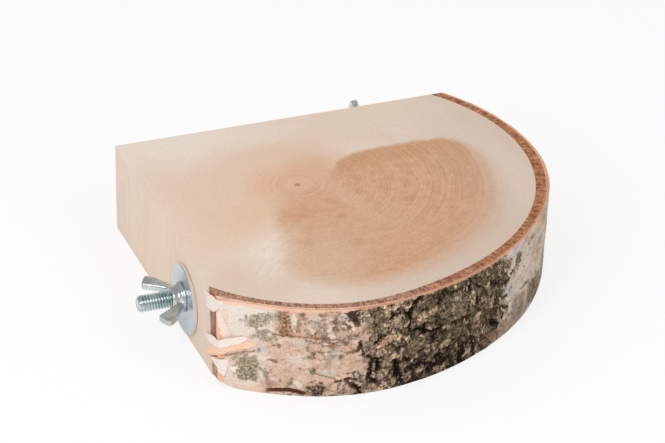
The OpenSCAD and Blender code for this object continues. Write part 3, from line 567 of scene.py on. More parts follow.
def paint(angle, height):
    """Height of the bark over its smooth outline in millimetres, and its colour."""
    at = Field(angle, height)
    colour, lift = dark_bark(at)
    for kind, share in ((peach_bark, at.left), (pale_bark, at.right)):
        own_colour, own_lift = kind(at)
        colour += (own_colour - colour) * share[..., None]
        lift += (own_lift - lift) * share
    lay_patches(at, colour, lift)
    lay_pits(at, colour, lift)
    lay_cracks_and_painted_shadow(at, colour, lift)
    lay_edges(at, colour)
    return lift, np.clip(colour, DARKEST, BRIGHTEST)


# Meshes
def linear(colour):
    """The light of a colour that is given as it looks, from 0 to 255."""
    share = np.asarray(colour, float) / 255
    return np.where(share <= 0.04045, share / 12.92, ((share + 0.055) / 1.055) ** 2.4)


def shade_smooth(mesh):
    mesh.polygons.foreach_set("use_smooth", [True] * len(mesh.polygons))


def add_mesh(name, points, faces, colours=None):
    mesh = bpy.data.meshes.new(name)
    mesh.from_pydata((np.asarray(points) * MM).tolist(), [], faces)
    mesh.validate()
    mesh.update()
    work = bmesh.new()
    work.from_mesh(mesh)
    bmesh.ops.recalc_face_normals(work, faces=work.faces)
    work.to_mesh(mesh)
    work.free()
    shade_smooth(mesh)
    if colours is not None:
        layer = mesh.color_attributes.new("paint", "FLOAT_COLOR", "POINT")
        rgba = np.concatenate([linear(colours), np.ones((len(points), 1))], 1)
        layer.data.foreach_set("color", rgba.astype(np.float32).ravel())
    return add_object(name, mesh)


def quads(*rows):
    """Faces between rows of point numbers."""
    return [(a, b, d, c) for low, high in zip(rows, rows[1:])
            for a, b, c, d in zip(low, low[1:], high, high[1:])]


def stack(*grids):
    return np.concatenate([np.reshape(grid, (-1, 3)) for grid in grids])


# Outlines are shares of the peeled zone's width and of the slice's height.
TORN_EDGE = [
    (0.222, 1.05), (0.232, 1.00), (0.212, 0.90), (0.272, 0.79), (0.322, 0.68),
    (0.382, 0.60), (0.372, 0.50), (0.402, 0.44), (0.292, 0.36), (0.252, 0.26),
    (0.267, 0.16), (0.242, 0.08), (0.312, -0.05),
]
BARK_ROWS = 104
BARK_COLUMNS = 780
INNER_STEP = 8
# the relief: its lowest and highest, the share of the part's own plates, how it ends at foot and rims
LOWEST, HIGHEST = -0.6, 1.45
PLATES_SHARE = 0.45
FOOT_CALM, FOOT_REACH = 0.7, 1.6
RIM_CALM, RIM_ROUNDING, RIM_REACH = 0.4, 0.1, 0.25
TORN_ROUGHNESS, TORN_GRAIN, TORN_SEED = 0.3, 2.2, 201
# directions between which the two ends of the outer bark lie
LEFT_END = (-134, -90)
BACK_END = (30, 42)
CUT_TONE = (216, 163, 132)
# the worn lower corner of the bark at the left face: place across the corner, height
WORN_FOOT = [(-2.288, 0), (5.512, 1.7), (12.272, 0)]


def angle_across(across, height):
    """Direction in degrees of the outer bark's points that lie that far across the left corner."""
    table = np.linspace(*LEFT_END, 400)
    reach = [across_corner(on_log(outer_edge(table), table, h)) for h in height]
    return np.array([np.interp(a, r, table) for a, r in zip(across, reach)])


def back_end():
    """Direction in which the outer bark meets the back face."""
    table = np.linspace(*BACK_END, 200)
    return np.interp(BACK, outer_edge(table) * np.sin(np.radians(table)), table)


def make_bark():
    rows = np.linspace(0, SLAB, BARK_ROWS)
    shares, heights = np.array(TORN_EDGE[::-1]).T
    torn = np.interp(rows / SLAB, heights, shares) * PEEL_WIDTH
    torn += TORN_ROUGHNESS * fbm(rows / TORN_GRAIN, rows * 0 + 0.3, TORN_SEED)
    share = np.linspace(0, 1, BARK_COLUMNS)
    angle = angle_across(torn, rows)[:, None] * (1 - share) + back_end() * share
    bottom = across_corner(on_log(outer_edge(angle[0]), angle[0], 0))
    foot = np.interp(bottom, *zip(*WORN_FOOT))
    height = rows[:, None] * (1 - foot / SLAB) + foot
    lift, colour = paint(angle, height)
    lift = np.clip(lift + PLATES_SHARE * plates(angle, height), LOWEST, HIGHEST)
    lift *= 1 - FOOT_CALM * np.exp(-np.maximum(height - foot, 0) / FOOT_REACH)
    rim = np.exp(-(SLAB - height) / RIM_REACH) + np.exp(-(height - foot) / RIM_REACH)
    radius = outer_edge(angle) + lift * (1 - RIM_CALM * rim) - RIM_ROUNDING * rim
    outer = on_log(radius, angle, height)
    inner = on_log(cork_edge(angle), angle, height)
    outer[:, -1, 1] = inner[:, -1, 1] = BACK

    # the hidden inner side has only some of the rows, except where it meets the two ends
    kept = [*range(0, BARK_ROWS - 1, INNER_STEP), BARK_ROWS - 1]
    points = stack(outer, inner[kept, 1:-1], inner[:, 0], inner[:, -1])
    painted = BARK_ROWS * BARK_COLUMNS
    numbers = np.arange(len(points))
    face = numbers[:painted].reshape(BARK_ROWS, BARK_COLUMNS)
    left, right = numbers[-2 * BARK_ROWS:-BARK_ROWS], numbers[-BARK_ROWS:]
    back = numbers[painted:-2 * BARK_ROWS].reshape(len(kept), -1)
    back = np.column_stack([left[kept], back, right[kept]])
    faces = [*quads(*face), *quads(face[0], back[0]), *quads(face[-1], back[-1]),
             *quads(face[:, 0], left), *quads(face[:, -1], right)]
    last = BARK_COLUMNS - 2
    for k, (low, high) in enumerate(zip(back, back[1:])):
        between = slice(kept[k], kept[k + 1] + 1)
        for i in range(last + 1):
            near = left[between] if i == 0 else (low[i], high[i])
            far = right[between] if i == last else (low[i + 1], high[i + 1])
            faces.append((*near, *far[::-1]))
    colours = np.concatenate([colour.reshape(-1, 3), coat((len(points) - painted,), CUT_TONE)])
    bark = add_mesh("outer_bark_dressed", points, faces, colours)
    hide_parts("outer_bark")
    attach(bark, "perch")
    return bark


# Peeled pieces: lower and upper outline from left to right, both as shares
FLAPS = {
    "upper_bark_flap": (
        [(-0.073, 0.79), (0.042, 0.80), (0.112, 0.82), (0.172, 0.865), (0.222, 0.92), (0.262, 0.96)],
        [(-0.058, 0.965), (0.08, 0.99), (0.16, 1.00), (0.242, 1.00), (0.262, 0.97)],
        "papery_bark",
    ),
    "middle_bark_strip": (
        [(-0.063, 0.40), (0.042, 0.40), (0.162, 0.425), (0.272, 0.465), (0.362, 0.485),
         (0.482, 0.53), (0.545, 0.555), (0.582, 0.60)],
        [(-0.073, 0.485), (0.132, 0.525), (0.352, 0.59), (0.472, 0.615), (0.545, 0.63), (0.582, 0.605)],
        "papery_bark",
    ),
    "torn_bark_strip": (
        [(-0.053, 0.205), (0.022, 0.27), (0.112, 0.315), (0.282, 0.40), (0.462, 0.455), (0.702, 0.525)],
        [(-0.058, 0.32), (0.042, 0.405), (0.162, 0.435), (0.272, 0.48), (0.362, 0.49),
         (0.482, 0.535), (0.587, 0.575), (0.642, 0.57), (0.705, 0.53)],
        "torn_bark",
    ),
    "lower_bark_chip": (
        [(0.022, 0.245), (0.172, 0.175), (0.292, 0.13), (0.312, 0.21), (0.337, 0.28)],
        [(0.022, 0.25), (0.162, 0.305), (0.322, 0.34), (0.337, 0.29)],
        "papery_bark",
    ),
}
PEEL_LIFT = 0.9
PEEL_LIFT_LENGTH = 6
FLAP_COLUMNS = 80
FLAP_ROWS = 22
FLAP_THICKNESS = 0.5
FLAP_SEED = 300
FLAP_ROUGHNESS, FLAP_GRAIN, LEAST_FLAP_HEIGHT = 0.12, 1.8, 0.25
# a flap's gap over the bark, how its edges curl up, its ripples, and how it thins out
FLAP_GAP, LEAST_GAP = 0.06, 0.02
CURL, CURL_WIDTH = 0.35, 1.3
RIPPLE, RIPPLE_GRAIN = 0.07, 2.5
TAPER, EDGE_TAPER, RIM_WIDTH = 2.6, 0.8, 0.35
CORNER_ROUNDING = 2.2
CORNER_STEPS = 7
PEELED_RANGE = (-136, -90)
FREE_Y = -math.sqrt(WOOD_RADIUS ** 2 - LEFT ** 2) + PEEL
PAPER_TONE, PAPER_STREAK, PAPER_BACK = (240, 231, 224), (230, 214, 202), (235, 178, 144)
TORN_TONE, TORN_STREAK, TORN_LIGHT = (246, 206, 178), (238, 184, 150), (248, 218, 196)
TORN_BACK_SHADE = (0.97, 0.9, 0.85)
FLAP_RIM_TONE = (231, 178, 146)


def peeled_place(across, height, off):
    """Points of a peeled sheet, off its inner side by a length: on the bark, then round the corner."""
    table = np.linspace(*PEELED_RANGE, 240)
    reach = across_corner(on_log(outer_edge(table) + off[..., None], table, height[..., None]))
    share = (across[..., None] > reach).sum(-1).clip(1, len(table) - 1)
    low, high = (np.take_along_axis(reach, share[..., None] - k, -1)[..., 0] for k in (1, 0))
    angle = table[share - 1] + (table[share] - table[share - 1]) * ((across - low) / (high - low))
    place = on_log(outer_edge(angle) + off, angle, height)
    y = -LEFT - off - math.sqrt(2) * (across + CORNER)
    stand = PEEL_LIFT * ramp(y, FREE_Y - PEEL_LIFT_LENGTH, FREE_Y)
    aside = np.stack([-LEFT - off - stand, y, height], -1)
    return np.where((place[..., 0] < -LEFT - off)[..., None], aside, place)


def rounded_place(across, height, off):
    # the sheet doesn't fold sharply at the corner: each point is a mean over its neighbours
    reach = np.linspace(-CORNER_ROUNDING, CORNER_ROUNDING, CORNER_STEPS)
    weights = 1 + np.cos(np.pi * reach / CORNER_ROUNDING * 0.9)
    places = [peeled_place(across + r, height, off) for r in reach]
    return sum(w * p for w, p in zip(weights, places)) / weights.sum()


def flap_colours(torn, place, height, seed, rim):
    """Colours of a peeled sheet's back and of its front, which is rimmed."""
    streak = fbm(place / 5, height / 0.35, seed + 11, 2)
    if torn:
        front = coat(height.shape, TORN_TONE)
        lay(front, 0.4 * smooth(streak, 0.3, 1), TORN_STREAK)
        lay(front, 0.5 * smooth(-streak, 0.2, 1), TORN_LIGHT)
        back = front * TORN_BACK_SHADE
    else:
        front = coat(height.shape, PAPER_TONE)
        lay(front, 0.35 * smooth(streak, 0.3, 1), PAPER_STREAK)
        back = coat(height.shape, PAPER_BACK)
    lay(front, 0.4 * rim, FLAP_RIM_TONE)
    front *= 1 + 0.015 * fbm(place / 0.5, height / 0.5, seed + 13, 3)[..., None]
    return stack(back, front).clip(0, BRIGHTEST)


def make_flap(name, lower, upper, slot_name):
    lower, upper = (np.array(outline).T * [[PEEL_WIDTH], [SLAB]] for outline in (lower, upper))
    across = np.linspace(min(lower[0, 0], upper[0, 0]), max(lower[0, -1], upper[0, -1]), FLAP_COLUMNS)
    seed = FLAP_SEED + 10 * sorted(FLAPS).index(name)
    low, high = (
        np.interp(across, *outline) + FLAP_ROUGHNESS * fbm(across / FLAP_GRAIN, across * 0 + 0.5, own_seed)
        for outline, own_seed in ((lower, seed), (upper, seed + 5))
    )
    high = np.maximum(np.minimum(high, SLAB), low + LEAST_FLAP_HEIGHT)
    up = np.linspace(0, 1, FLAP_ROWS)[:, None]
    height = low * (1 - up) + high * up
    place = np.broadcast_to(across, height.shape)
    edge = np.minimum(height - low, high - height)
    curled = smooth(fbm(place / 3, height / 3, seed + 7), -0.3, 0.3)
    curl = CURL * (1 - smooth(edge, 0, CURL_WIDTH)) * curled
    ripple = RIPPLE * fbm(place / RIPPLE_GRAIN, height / RIPPLE_GRAIN, seed + 9)
    ending = smooth(across[-1] - place, 0, TAPER)
    thick = FLAP_THICKNESS * (0.5 + 0.5 * smooth(edge, 0, EDGE_TAPER)) * (0.3 + 0.7 * ending)
    under = np.maximum(FLAP_GAP + (curl + ripple) * ending, LEAST_GAP)
    points = stack(*(rounded_place(place, height, off) for off in (under, under + thick)))
    rim = ending * (1 - smooth(edge, 0, RIM_WIDTH))
    colours = flap_colours(slot_name == "torn_bark", place, height, seed, rim)
    inner, outer = np.arange(len(points)).reshape(2, FLAP_ROWS, FLAP_COLUMNS)
    faces = [*quads(*inner[::-1]), *quads(*outer)]
    for side in (np.s_[0], np.s_[:, -1], np.s_[-1, ::-1], np.s_[::-1, 0]):
        faces += quads(inner[side], outer[side])
    flap = add_mesh(name + "_dressed", points, faces, colours)
    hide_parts(name)
    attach(flap, "perch")
    return flap


bark = make_bark()
flaps = [make_flap(name, *facts) for name, facts in FLAPS.items()]


# Studs and wing nuts, each drawn standing on Z = 0 and then put on its wood face
STUD_RADIUS = 3
STUD_PITCH = 1
THREAD_DEPTH = 0.6
THREAD_FLANK = (0.18, 0.92)
STUD_PROJECTION = 17.5
STUD_CHAMFER = 0.8
CHAMFER_FOOT = STUD_PROJECTION - STUD_CHAMFER
CHAMFER_STEP = 0.1
# the end face's dish: its rim and its floor as shares of the chamfer's end, and two depths
DISH_RIM, DISH_FLOOR = 0.72, 0.3
DISH_DEPTH, DISH_MIDDLE = 0.12, 0.16
SCREW_LENGTH = 28
SCREW_PITCH = 2.5
SCREW_CORE_RADIUS = 2.2
SCREW_FLANK = (0.5, 0.95)
SCREW_POINT = 4
SCREW_TIP_SHARE, SCREW_TIP = 0.02, 0.02
WASHER = 1.5
NUT_FOOT_RADIUS = 5.4
NUT_TOP_RADIUS = 4.1
NUT_HEIGHT = 4.4
NUT_FOOT_HEIGHT = 1.2
NUT_FOOT_BEVEL = 0.25
NUT_NECK, NUT_NECK_HEIGHT = 0.35, 1
NUT_TOP_BEVEL, NUT_TOP_BEVEL_HEIGHT = 0.45, 0.4
NUT_HOLE_RADIUS = 3.05
NUT_MOUTH = 0.5
WING_RADIUS = 14.1
WING_HEIGHT = 11.4
WING_THICKNESS = 2.4
WING_ROUNDING = 0.45
# one wing's outline as shares of its radius and height
WING_PROFILE = [
    (0.20, 0.08), (0.36, 0.09), (0.49, 0.19), (0.60, 0.26), (0.68, 0.33), (0.77, 0.41),
    (0.86, 0.51), (0.94, 0.63), (0.99, 0.72), (1.00, 0.765), (0.985, 0.81), (0.92, 0.87),
    (0.83, 0.93), (0.75, 0.98), (0.71, 1.00), (0.68, 0.985), (0.64, 0.92), (0.58, 0.79),
    (0.52, 0.66), (0.48, 0.57), (0.42, 0.46), (0.36, 0.37), (0.31, 0.33), (0.20, 0.31),
]
LEFT_STUD_Y, LEFT_STUD_Z = -31, 15.5
BACK_STUD_X, BACK_STUD_Z = 40.5, 16
LEFT_STUD = Matrix(((0, 0, -1, -LEFT), (0, 1, 0, LEFT_STUD_Y), (1, 0, 0, LEFT_STUD_Z), (0, 0, 0, 1)))
BACK_STUD = Matrix(((1, 0, 0, BACK_STUD_X), (0, 0, 1, BACK), (0, -1, 0, BACK_STUD_Z), (0, 0, 0, 1)))
LEFT_WING_TURN = -5.5
BACK_WING_TURN = 0
# how finely the hardware is drawn
THREAD_SIDES = 40
SCREW_STEP = 0.25
THREAD_STEP = 0.09
CHAMFER_ROWS = 7
LATHE_SIDES = 96
NUT_GRAIN = 0.19
NUT_SMOOTHING = 5


def place_piece(piece, stand, body, node):
    stand = stand.copy()
    stand.translation *= MM
    piece.data.transform(stand)
    piece.data.update()
    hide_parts(node)
    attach(piece, body)
    return piece


def ridge(turns):
    """How near a thread is to its line: 1 at every whole turn, 0 half way between."""
    return np.abs(turns % 1 - 0.5) * 2


def make_bolt(name, stand, node):
    heights = np.concatenate([
        np.arange(-SCREW_LENGTH, 0, SCREW_STEP),
        np.arange(0, CHAMFER_FOOT, THREAD_STEP),
        np.linspace(CHAMFER_FOOT, STUD_PROJECTION, CHAMFER_ROWS),
    ])
    turn, level = np.meshgrid(np.arange(THREAD_SIDES) / THREAD_SIDES, heights)
    stud = STUD_RADIUS - THREAD_DEPTH * smooth(ridge(level / STUD_PITCH - turn), *THREAD_FLANK)
    limit = STUD_RADIUS - CHAMFER_STEP - (level - CHAMFER_FOOT)
    stud = np.where(level > CHAMFER_FOOT, np.minimum(stud, limit), stud)
    crest = smooth(ridge(level / SCREW_PITCH - turn), *SCREW_FLANK)
    screw = SCREW_CORE_RADIUS + (STUD_RADIUS - SCREW_CORE_RADIUS) * crest
    tip = np.clip((level + SCREW_LENGTH) / SCREW_POINT, SCREW_TIP_SHARE, 1)
    radius = np.where(level < 0, screw * tip, stud)
    around = 2 * np.pi * turn
    rows = np.stack([radius * np.cos(around), radius * np.sin(around), level], -1)
    # the end face: a shallow dish inside the chamfer
    rim = rows[-1] * (DISH_RIM, DISH_RIM, 1)
    dish = rows[-1] * (DISH_FLOOR, DISH_FLOOR, 1) - (0, 0, DISH_DEPTH)
    ends = [(0, 0, STUD_PROJECTION - DISH_MIDDLE), (0, 0, -SCREW_LENGTH - SCREW_TIP)]
    points = stack(rows, rim, dish, ends)
    end, point = len(points) - 2, len(points) - 1
    rings = np.arange(end).reshape(-1, THREAD_SIDES)
    rings = np.column_stack([rings, rings[:, 0]])
    faces = quads(*rings)
    faces += [(a, b, end) for a, b in zip(rings[-1], rings[-1, 1:])]
    faces += [(b, a, point) for a, b in zip(rings[0], rings[0, 1:])]
    return place_piece(add_mesh(name, points, faces), stand, "perch", node)


def lathe(name, profile):
    """A closed piece turned round Z from (radius, height) points; a radius of 0 starts and ends it."""
    points, faces = [], []
    for k in range(LATHE_SIDES):
        a = 2 * math.pi * k / LATHE_SIDES
        points += [(r * math.cos(a), r * math.sin(a), h) for r, h in profile[1:-1]]
    m = len(profile) - 2
    bottom, top = len(points), len(points) + 1
    points += [(0, 0, profile[0][1]), (0, 0, profile[-1][1])]
    for k in range(LATHE_SIDES):
        a, b = k * m, (k + 1) % LATHE_SIDES * m
        faces += [(a + j, b + j, b + j + 1, a + j + 1) for j in range(m - 1)]
        faces += [(bottom, b, a), (top, a + m - 1, b + m - 1)]
    return add_mesh(name, points, faces)


def wing_solid(name, sign):
    outline = [(sign * r * WING_RADIUS, h * WING_HEIGHT) for r, h in WING_PROFILE]
    half = WING_THICKNESS / 2
    count = len(outline)
    points = [(x, y, z) for y in (-half, half) for x, z in outline]
    faces = [list(range(count)), list(range(2 * count - 1, count - 1, -1))]
    faces += [(k, k + count, (k + 1) % count + count, (k + 1) % count) for k in range(count)]
    wing = add_mesh(name, points, faces)
    work = bmesh.new()
    work.from_mesh(wing.data)
    rims = [e for e in work.edges if abs(e.verts[0].co.y - e.verts[1].co.y) < half * MM]
    bmesh.ops.bevel(work, geom=rims, offset=WING_ROUNDING * MM, segments=3, affect="EDGES", profile=0.6)
    work.to_mesh(wing.data)
    work.free()
    return wing


def apply_modifiers(piece):
    bpy.context.view_layer.update()
    graph = bpy.context.evaluated_depsgraph_get()
    mesh = bpy.data.meshes.new_from_object(piece.evaluated_get(graph))
    piece.modifiers.clear()
    piece.data = mesh


def join(pieces):
    work = bmesh.new()
    for piece in pieces:
        work.from_mesh(piece.data)
    work.to_mesh(pieces[0].data)
    work.free()
    for piece in pieces[1:]:
        bpy.data.objects.remove(piece)
    return pieces[0]


def make_nut(name, stand, turn, body, node):
    foot, top = NUT_FOOT_RADIUS, NUT_TOP_RADIUS
    barrel = lathe(name, [
        (0, 0), (foot - NUT_FOOT_BEVEL, 0), (foot, NUT_FOOT_BEVEL), (foot, NUT_FOOT_HEIGHT),
        (top + NUT_NECK, NUT_FOOT_HEIGHT + NUT_NECK_HEIGHT), (top, NUT_HEIGHT - NUT_TOP_BEVEL_HEIGHT),
        (top - NUT_TOP_BEVEL, NUT_HEIGHT), (0, NUT_HEIGHT),
    ])
    nut = join([barrel, wing_solid(name + "_a", 1), wing_solid(name + "_b", -1)])
    remesh = nut.modifiers.new("remesh", "REMESH")
    remesh.mode = "VOXEL"
    remesh.voxel_size = NUT_GRAIN * MM
    rounding = nut.modifiers.new("rounding", "SMOOTH")
    rounding.iterations = NUT_SMOOTHING
    apply_modifiers(nut)
    hole, mouth = NUT_HOLE_RADIUS, NUT_HOLE_RADIUS + NUT_MOUTH
    # the cutter goes on below and above the nut
    below, above = -1, NUT_HEIGHT + 9
    bore = lathe(name + "_bore", [
        (0, below), (mouth - below, below), (mouth, 0), (hole, NUT_MOUTH),
        (hole, NUT_HEIGHT - NUT_MOUTH), (mouth, NUT_HEIGHT), (mouth, above), (0, above),
    ])
    cut = nut.modifiers.new("bore", "BOOLEAN")
    cut.operation = "DIFFERENCE"
    cut.object = bore
    cut.solver = "EXACT"
    apply_modifiers(nut)
    bpy.data.objects.remove(bore)
    shade_smooth(nut.data)
    lift = Matrix.Translation((0, 0, WASHER * MM)) @ Matrix.Rotation(math.radians(90 + turn), 4, "Z")
    nut.data.transform(lift)
    return place_piece(nut, stand, body, node)


bolts = [
    make_bolt("left_threaded_stud", LEFT_STUD, "left_hanger_bolt"),
    make_bolt("back_threaded_stud", BACK_STUD, "back_hanger_bolt"),
]
nuts = [
    make_nut("left_wings", LEFT_STUD, LEFT_WING_TURN, "left_wing_nut", "left_wing_nut"),
    make_nut("back_wings", BACK_STUD, BACK_WING_TURN, "back_wing_nut", "back_wing_nut"),
]


# Materials
WHITE = (255, 255, 255)


class Value:
    """What a node gives, which can be added, multiplied and so on."""

    def __init__(self, sheet, node, output=0):
        self.sheet, self.socket = sheet, node.outputs[output]

    def __add__(self, other):
        return self.sheet.math("ADD", self, other)

    def __sub__(self, other):
        return self.sheet.math("SUBTRACT", self, other)

    def __rsub__(self, other):
        return self.sheet.math("SUBTRACT", other, self)

    def __mul__(self, other):
        return self.sheet.math("MULTIPLY", self, other)

    def __truediv__(self, other):
        return self.sheet.math("DIVIDE", self, other)

    def fade(self, low, high, to_low=0, to_high=1):
        """A soft step from to_low to to_high, while the value goes from low to high."""
        inputs = enumerate((self, low, high, to_low, to_high))
        return self.sheet.value("ShaderNodeMapRange", inputs, interpolation_type="SMOOTHSTEP")

    def coated(self, *layers):
        """A colour under layers of other colours, each with its share."""
        colour = self
        for share, shade in layers:
            colour = self.sheet.mix(share, colour, shade)
        return colour


class Sheet:
    """One material's nodes."""

    def __init__(self, name, **settings):
        self.material = bpy.data.materials.new(name)
        self.material.use_nodes = True
        self.tree = self.material.node_tree
        self.surface = self.tree.nodes["Principled BSDF"]
        for key, value in settings.items():
            self.surface.inputs[key.replace("_", " ")].default_value = value
        place = Value(self, self.node("ShaderNodeTexCoord"), "Object")
        self.place = self.value("ShaderNodeVectorMath", ((0, place), ("Scale", 1 / MM)), operation="SCALE")
        self.x, self.y, self.z = self.split(self.place)

    def node(self, kind, inputs=(), **settings):
        made = self.tree.nodes.new(kind)
        for key, value in settings.items():
            setattr(made, key, value)
        for key, value in inputs:
            self.link(value, made.inputs[key])
        return made

    def value(self, kind, inputs, output=0, **settings):
        return Value(self, self.node(kind, inputs, **settings), output)

    def link(self, value, socket):
        if isinstance(value, Value):
            self.tree.links.new(value.socket, socket)
        else:
            socket.default_value = value

    def math(self, operation, *values):
        return self.value("ShaderNodeMath", enumerate(values), operation=operation)

    def length(self, a, b):
        return self.math("SQRT", a * a + b * b)

    def split(self, vector):
        made = self.node("ShaderNodeSeparateXYZ", [(0, vector)])
        return [Value(self, made, k) for k in range(3)]

    def vector(self, *parts):
        return self.value("ShaderNodeCombineXYZ", enumerate(parts))

    def noise(self, place, scale, detail, rough, warp=0):
        if isinstance(place, tuple):
            place = self.vector(*place)
        names = ("Vector", "Scale", "Detail", "Roughness", "Distortion")
        return self.value("ShaderNodeTexNoise", zip(names, (place, scale, detail, rough, warp)))

    def mix(self, share, a, b, blend="MIX"):
        inputs = ((0, share), (6, tone(a)), (7, tone(b)))
        return self.value("ShaderNodeMix", inputs, 2, data_type="RGBA", blend_type=blend)

    def curve(self, value, points):
        made = self.node("ShaderNodeFloatCurve", [("Value", value)])
        course = made.mapping.curves[0]
        while len(course.points) < len(points):
            course.points.new(0.5, 0.5)
        for point, (x, y) in zip(course.points, points):
            point.location = (x, y)
            point.handle_type = "AUTO_CLAMPED"
        made.mapping.update()
        return Value(self, made)

    def paint(self):
        return self.value("ShaderNodeAttribute", (), "Color", attribute_name="paint")

    def finish(self, colour, rough, *bumps):
        self.link(colour, self.surface.inputs["Base Color"])
        self.link(rough, self.surface.inputs["Roughness"])
        below = []
        for height, distance in bumps:
            inputs = [("Distance", distance * MM), ("Strength", 1), ("Height", height), *below]
            below = [("Normal", self.value("ShaderNodeBump", inputs))]
        self.link(below[0][1], self.surface.inputs["Normal"])
        return self.material


def tone(value):
    # a colour as it is seen on the photograph's scale of 0 to 255
    if isinstance(value, tuple):
        return tuple(linear(value)) + (1,)
    return value


def bark_material():
    sheet = Sheet("weathered_birch_bark", Specular_IOR_Level=0.06)
    fine = sheet.noise(sheet.place, 1.4, 4, 0.7)
    speckle = sheet.noise(sheet.place, 3.2, 3, 0.65)
    paint = sheet.paint()
    bright = sheet.split(paint)[1]
    rough = bright.fade(0.06, 0.45, 0.8, 0.06) * bright.fade(0.006, 0.03, 0.25, 1)
    depth = bright.fade(0.1, 0.5, 1, 0.3)
    furrows = sheet.mix(fine.fade(0.34, 0.62), (140, 136, 130), WHITE)
    colour = paint.coated(
        (rough, sheet.mix(1, paint, furrows, "MULTIPLY")),
        # small light specks on the dark bark are painted glints
        (speckle.fade(0.60, 0.70, 0, 0.28) * rough, (226, 206, 184)),
        (speckle.fade(0.40, 0.30, 0, 0.5) * (rough * 0.8 + 0.2), (58, 48, 38)),
    )
    return sheet.finish(colour, fine.fade(0.3, 0.7, 0.95, 0.72), (fine * depth, 0.22), (speckle * depth, 0.1))


def paper_material():
    sheet = Sheet("peeled_birch_paper", Specular_IOR_Level=0.35)
    streak = sheet.noise((sheet.x * 0.25, sheet.y * 0.25, sheet.z * 2.4), 1, 4, 0.6)
    speckle = sheet.noise(sheet.place, 4, 2, 0.6)
    colour = sheet.mix(1, sheet.paint(), sheet.mix(streak, (228, 222, 216), WHITE), "MULTIPLY")
    return sheet.finish(colour, streak.fade(0.3, 0.7, 0.62, 0.8), (streak, 0.12), (speckle, 0.04))


def upright(sheet):
    """Place across the leaning log, at the top face's scale."""
    return sheet.x + (SLAB - sheet.z) * math.tan(LEAN)


def direction(sheet):
    """Direction round the log in degrees."""
    return sheet.math("ARCTAN2", sheet.y, upright(sheet)) * (180 / math.pi)


def inner_bark_material():
    sheet = Sheet("inner_bark_grain", Specular_IOR_Level=0.25)
    turn = direction(sheet)
    reach = sheet.length(upright(sheet), sheet.y)
    speck = sheet.noise(sheet.place, 1.7, 4, 0.7)
    blotch = sheet.noise(sheet.place, 0.16, 3, 0.6)
    patches = sheet.noise(sheet.place, 0.6, 3, 0.65)
    strokes = sheet.noise((turn * (MM_PER_DEGREE * 0.8), reach * 0.3, sheet.z * 0.05), 1, 4, 0.65)
    grain = sheet.noise((sheet.x, sheet.y, sheet.z * 0.08), 2.6, 3, 0.6)
    orange = (turn + (blotch - 0.5) * 60).fade(-88, -58)
    colour = sheet.mix(speck.fade(0.36, 0.64), (138, 92, 70), (200, 158, 132)).coated(
        (orange * 0.75, sheet.mix(speck.fade(0.3, 0.7), (146, 84, 46), (202, 132, 82))),
        (strokes.fade(0.5, 0.62, 0, 0.75), (108, 68, 48)),
        (strokes.fade(0.45, 0.34, 0, 0.5), (224, 172, 130)),
        (patches.fade(0.5, 0.62, 0, 0.7) * (orange * 0.7 + 0.3), (118, 74, 54)),
        (grain.fade(0.58, 0.72, 0, 0.3), (118, 78, 60)),
    )
    return sheet.finish(colour, speck.fade(0.3, 0.7, 0.9, 0.7), (speck, 0.2), (strokes, 0.15))


def cork_material():
    sheet = Sheet("salmon_cork", Specular_IOR_Level=0.25)
    turn = direction(sheet)
    across = (sheet.x - sheet.y) * (1 / math.sqrt(2)) - CORNER
    speck = sheet.noise(sheet.place, 1.6, 3, 0.65)
    layers = sheet.noise((sheet.x * 0.3, sheet.y * 0.3, sheet.z * 2.5), 1, 3, 0.6)
    broken = sheet.noise(sheet.place, 0.5, 3, 0.6)
    # from the front to the right it is as brown as the inner bark
    brown = turn.fade(-84, -66) * turn.fade(-12, -26)
    # remnants of the white paper beside the torn edge
    streak = sheet.noise((across * 0.3, 0, sheet.z * 1.5), 1, 4, 0.6)
    beyond = across + (streak - 0.5) * 5 - sheet.z.fade(16, 30, 6.2, 2.6)
    under_rim = sheet.z.fade(32.4, 32)
    remnant = beyond.fade(-0.25, 0.35) * sheet.z.fade(17.5, 19) * under_rim
    edge = sheet.math("ABSOLUTE", beyond + 0.3).fade(0.9, 0.2) * under_rim
    colour = sheet.mix(speck, (228, 178, 148), (243, 206, 180)).coated(
        (turn.fade(-104, -84), sheet.mix(speck, (214, 146, 108), (232, 182, 152))),
        (layers.fade(0.5, 0.75, 0, 0.4), (214, 148, 112)),
        (broken.fade(0.5, 0.66, 0, 0.6), (188, 130, 98)),
        (brown * 0.85, sheet.mix(speck.fade(0.35, 0.65), (146, 92, 62), (190, 136, 102))),
        (remnant * 0.9, (231, 217, 206)),
        (edge * 0.6, (236, 158, 112)),
    )
    return sheet.finish(colour, speck.fade(0.3, 0.7, 0.85, 0.65), (layers, 0.15), (speck, 0.1))


# The wood's figure in the plane of the top face: its pith, the stained heart's middle and outline
PITH = (-2.1, 1.0)
STAIN_CENTRE = (25, -22)
STAIN_OUTLINE = [
    (12.7, 7), (16.8, 12.8), (21, 15.8), (29.3, 17.5), (39.3, 18.2), (49.3, 18.2), (56.8, 17), (62, 14.5),
    (66, 7), (67.5, -5), (66, -18), (62, -31), (54, -44.7), (43, -56), (29.3, -65.5), (16, -71),
    (4.3, -73.5), (-8.5, -73), (-19, -67), (-25.5, -58), (-25.5, -47), (-21.5, -38), (-19.8, -28),
    (-17.5, -19), (-13, -9), (-4, -3), (5, 0),
]
# how soft the stain's edge is, by direction round its centre as a share of a turn
STAIN_SOFTNESS = [
    (0, 0.95), (0.06, 0.8), (0.1, 0.4), (0.125, 0.2), (0.3, 0.18), (0.33, 0.32), (0.37, 0.8), (0.42, 1),
    (0.46, 0.7), (0.49, 0.3), (0.53, 0.4), (0.58, 0.6), (0.64, 0.7), (0.7, 0.8), (0.85, 1), (1, 0.95),
]
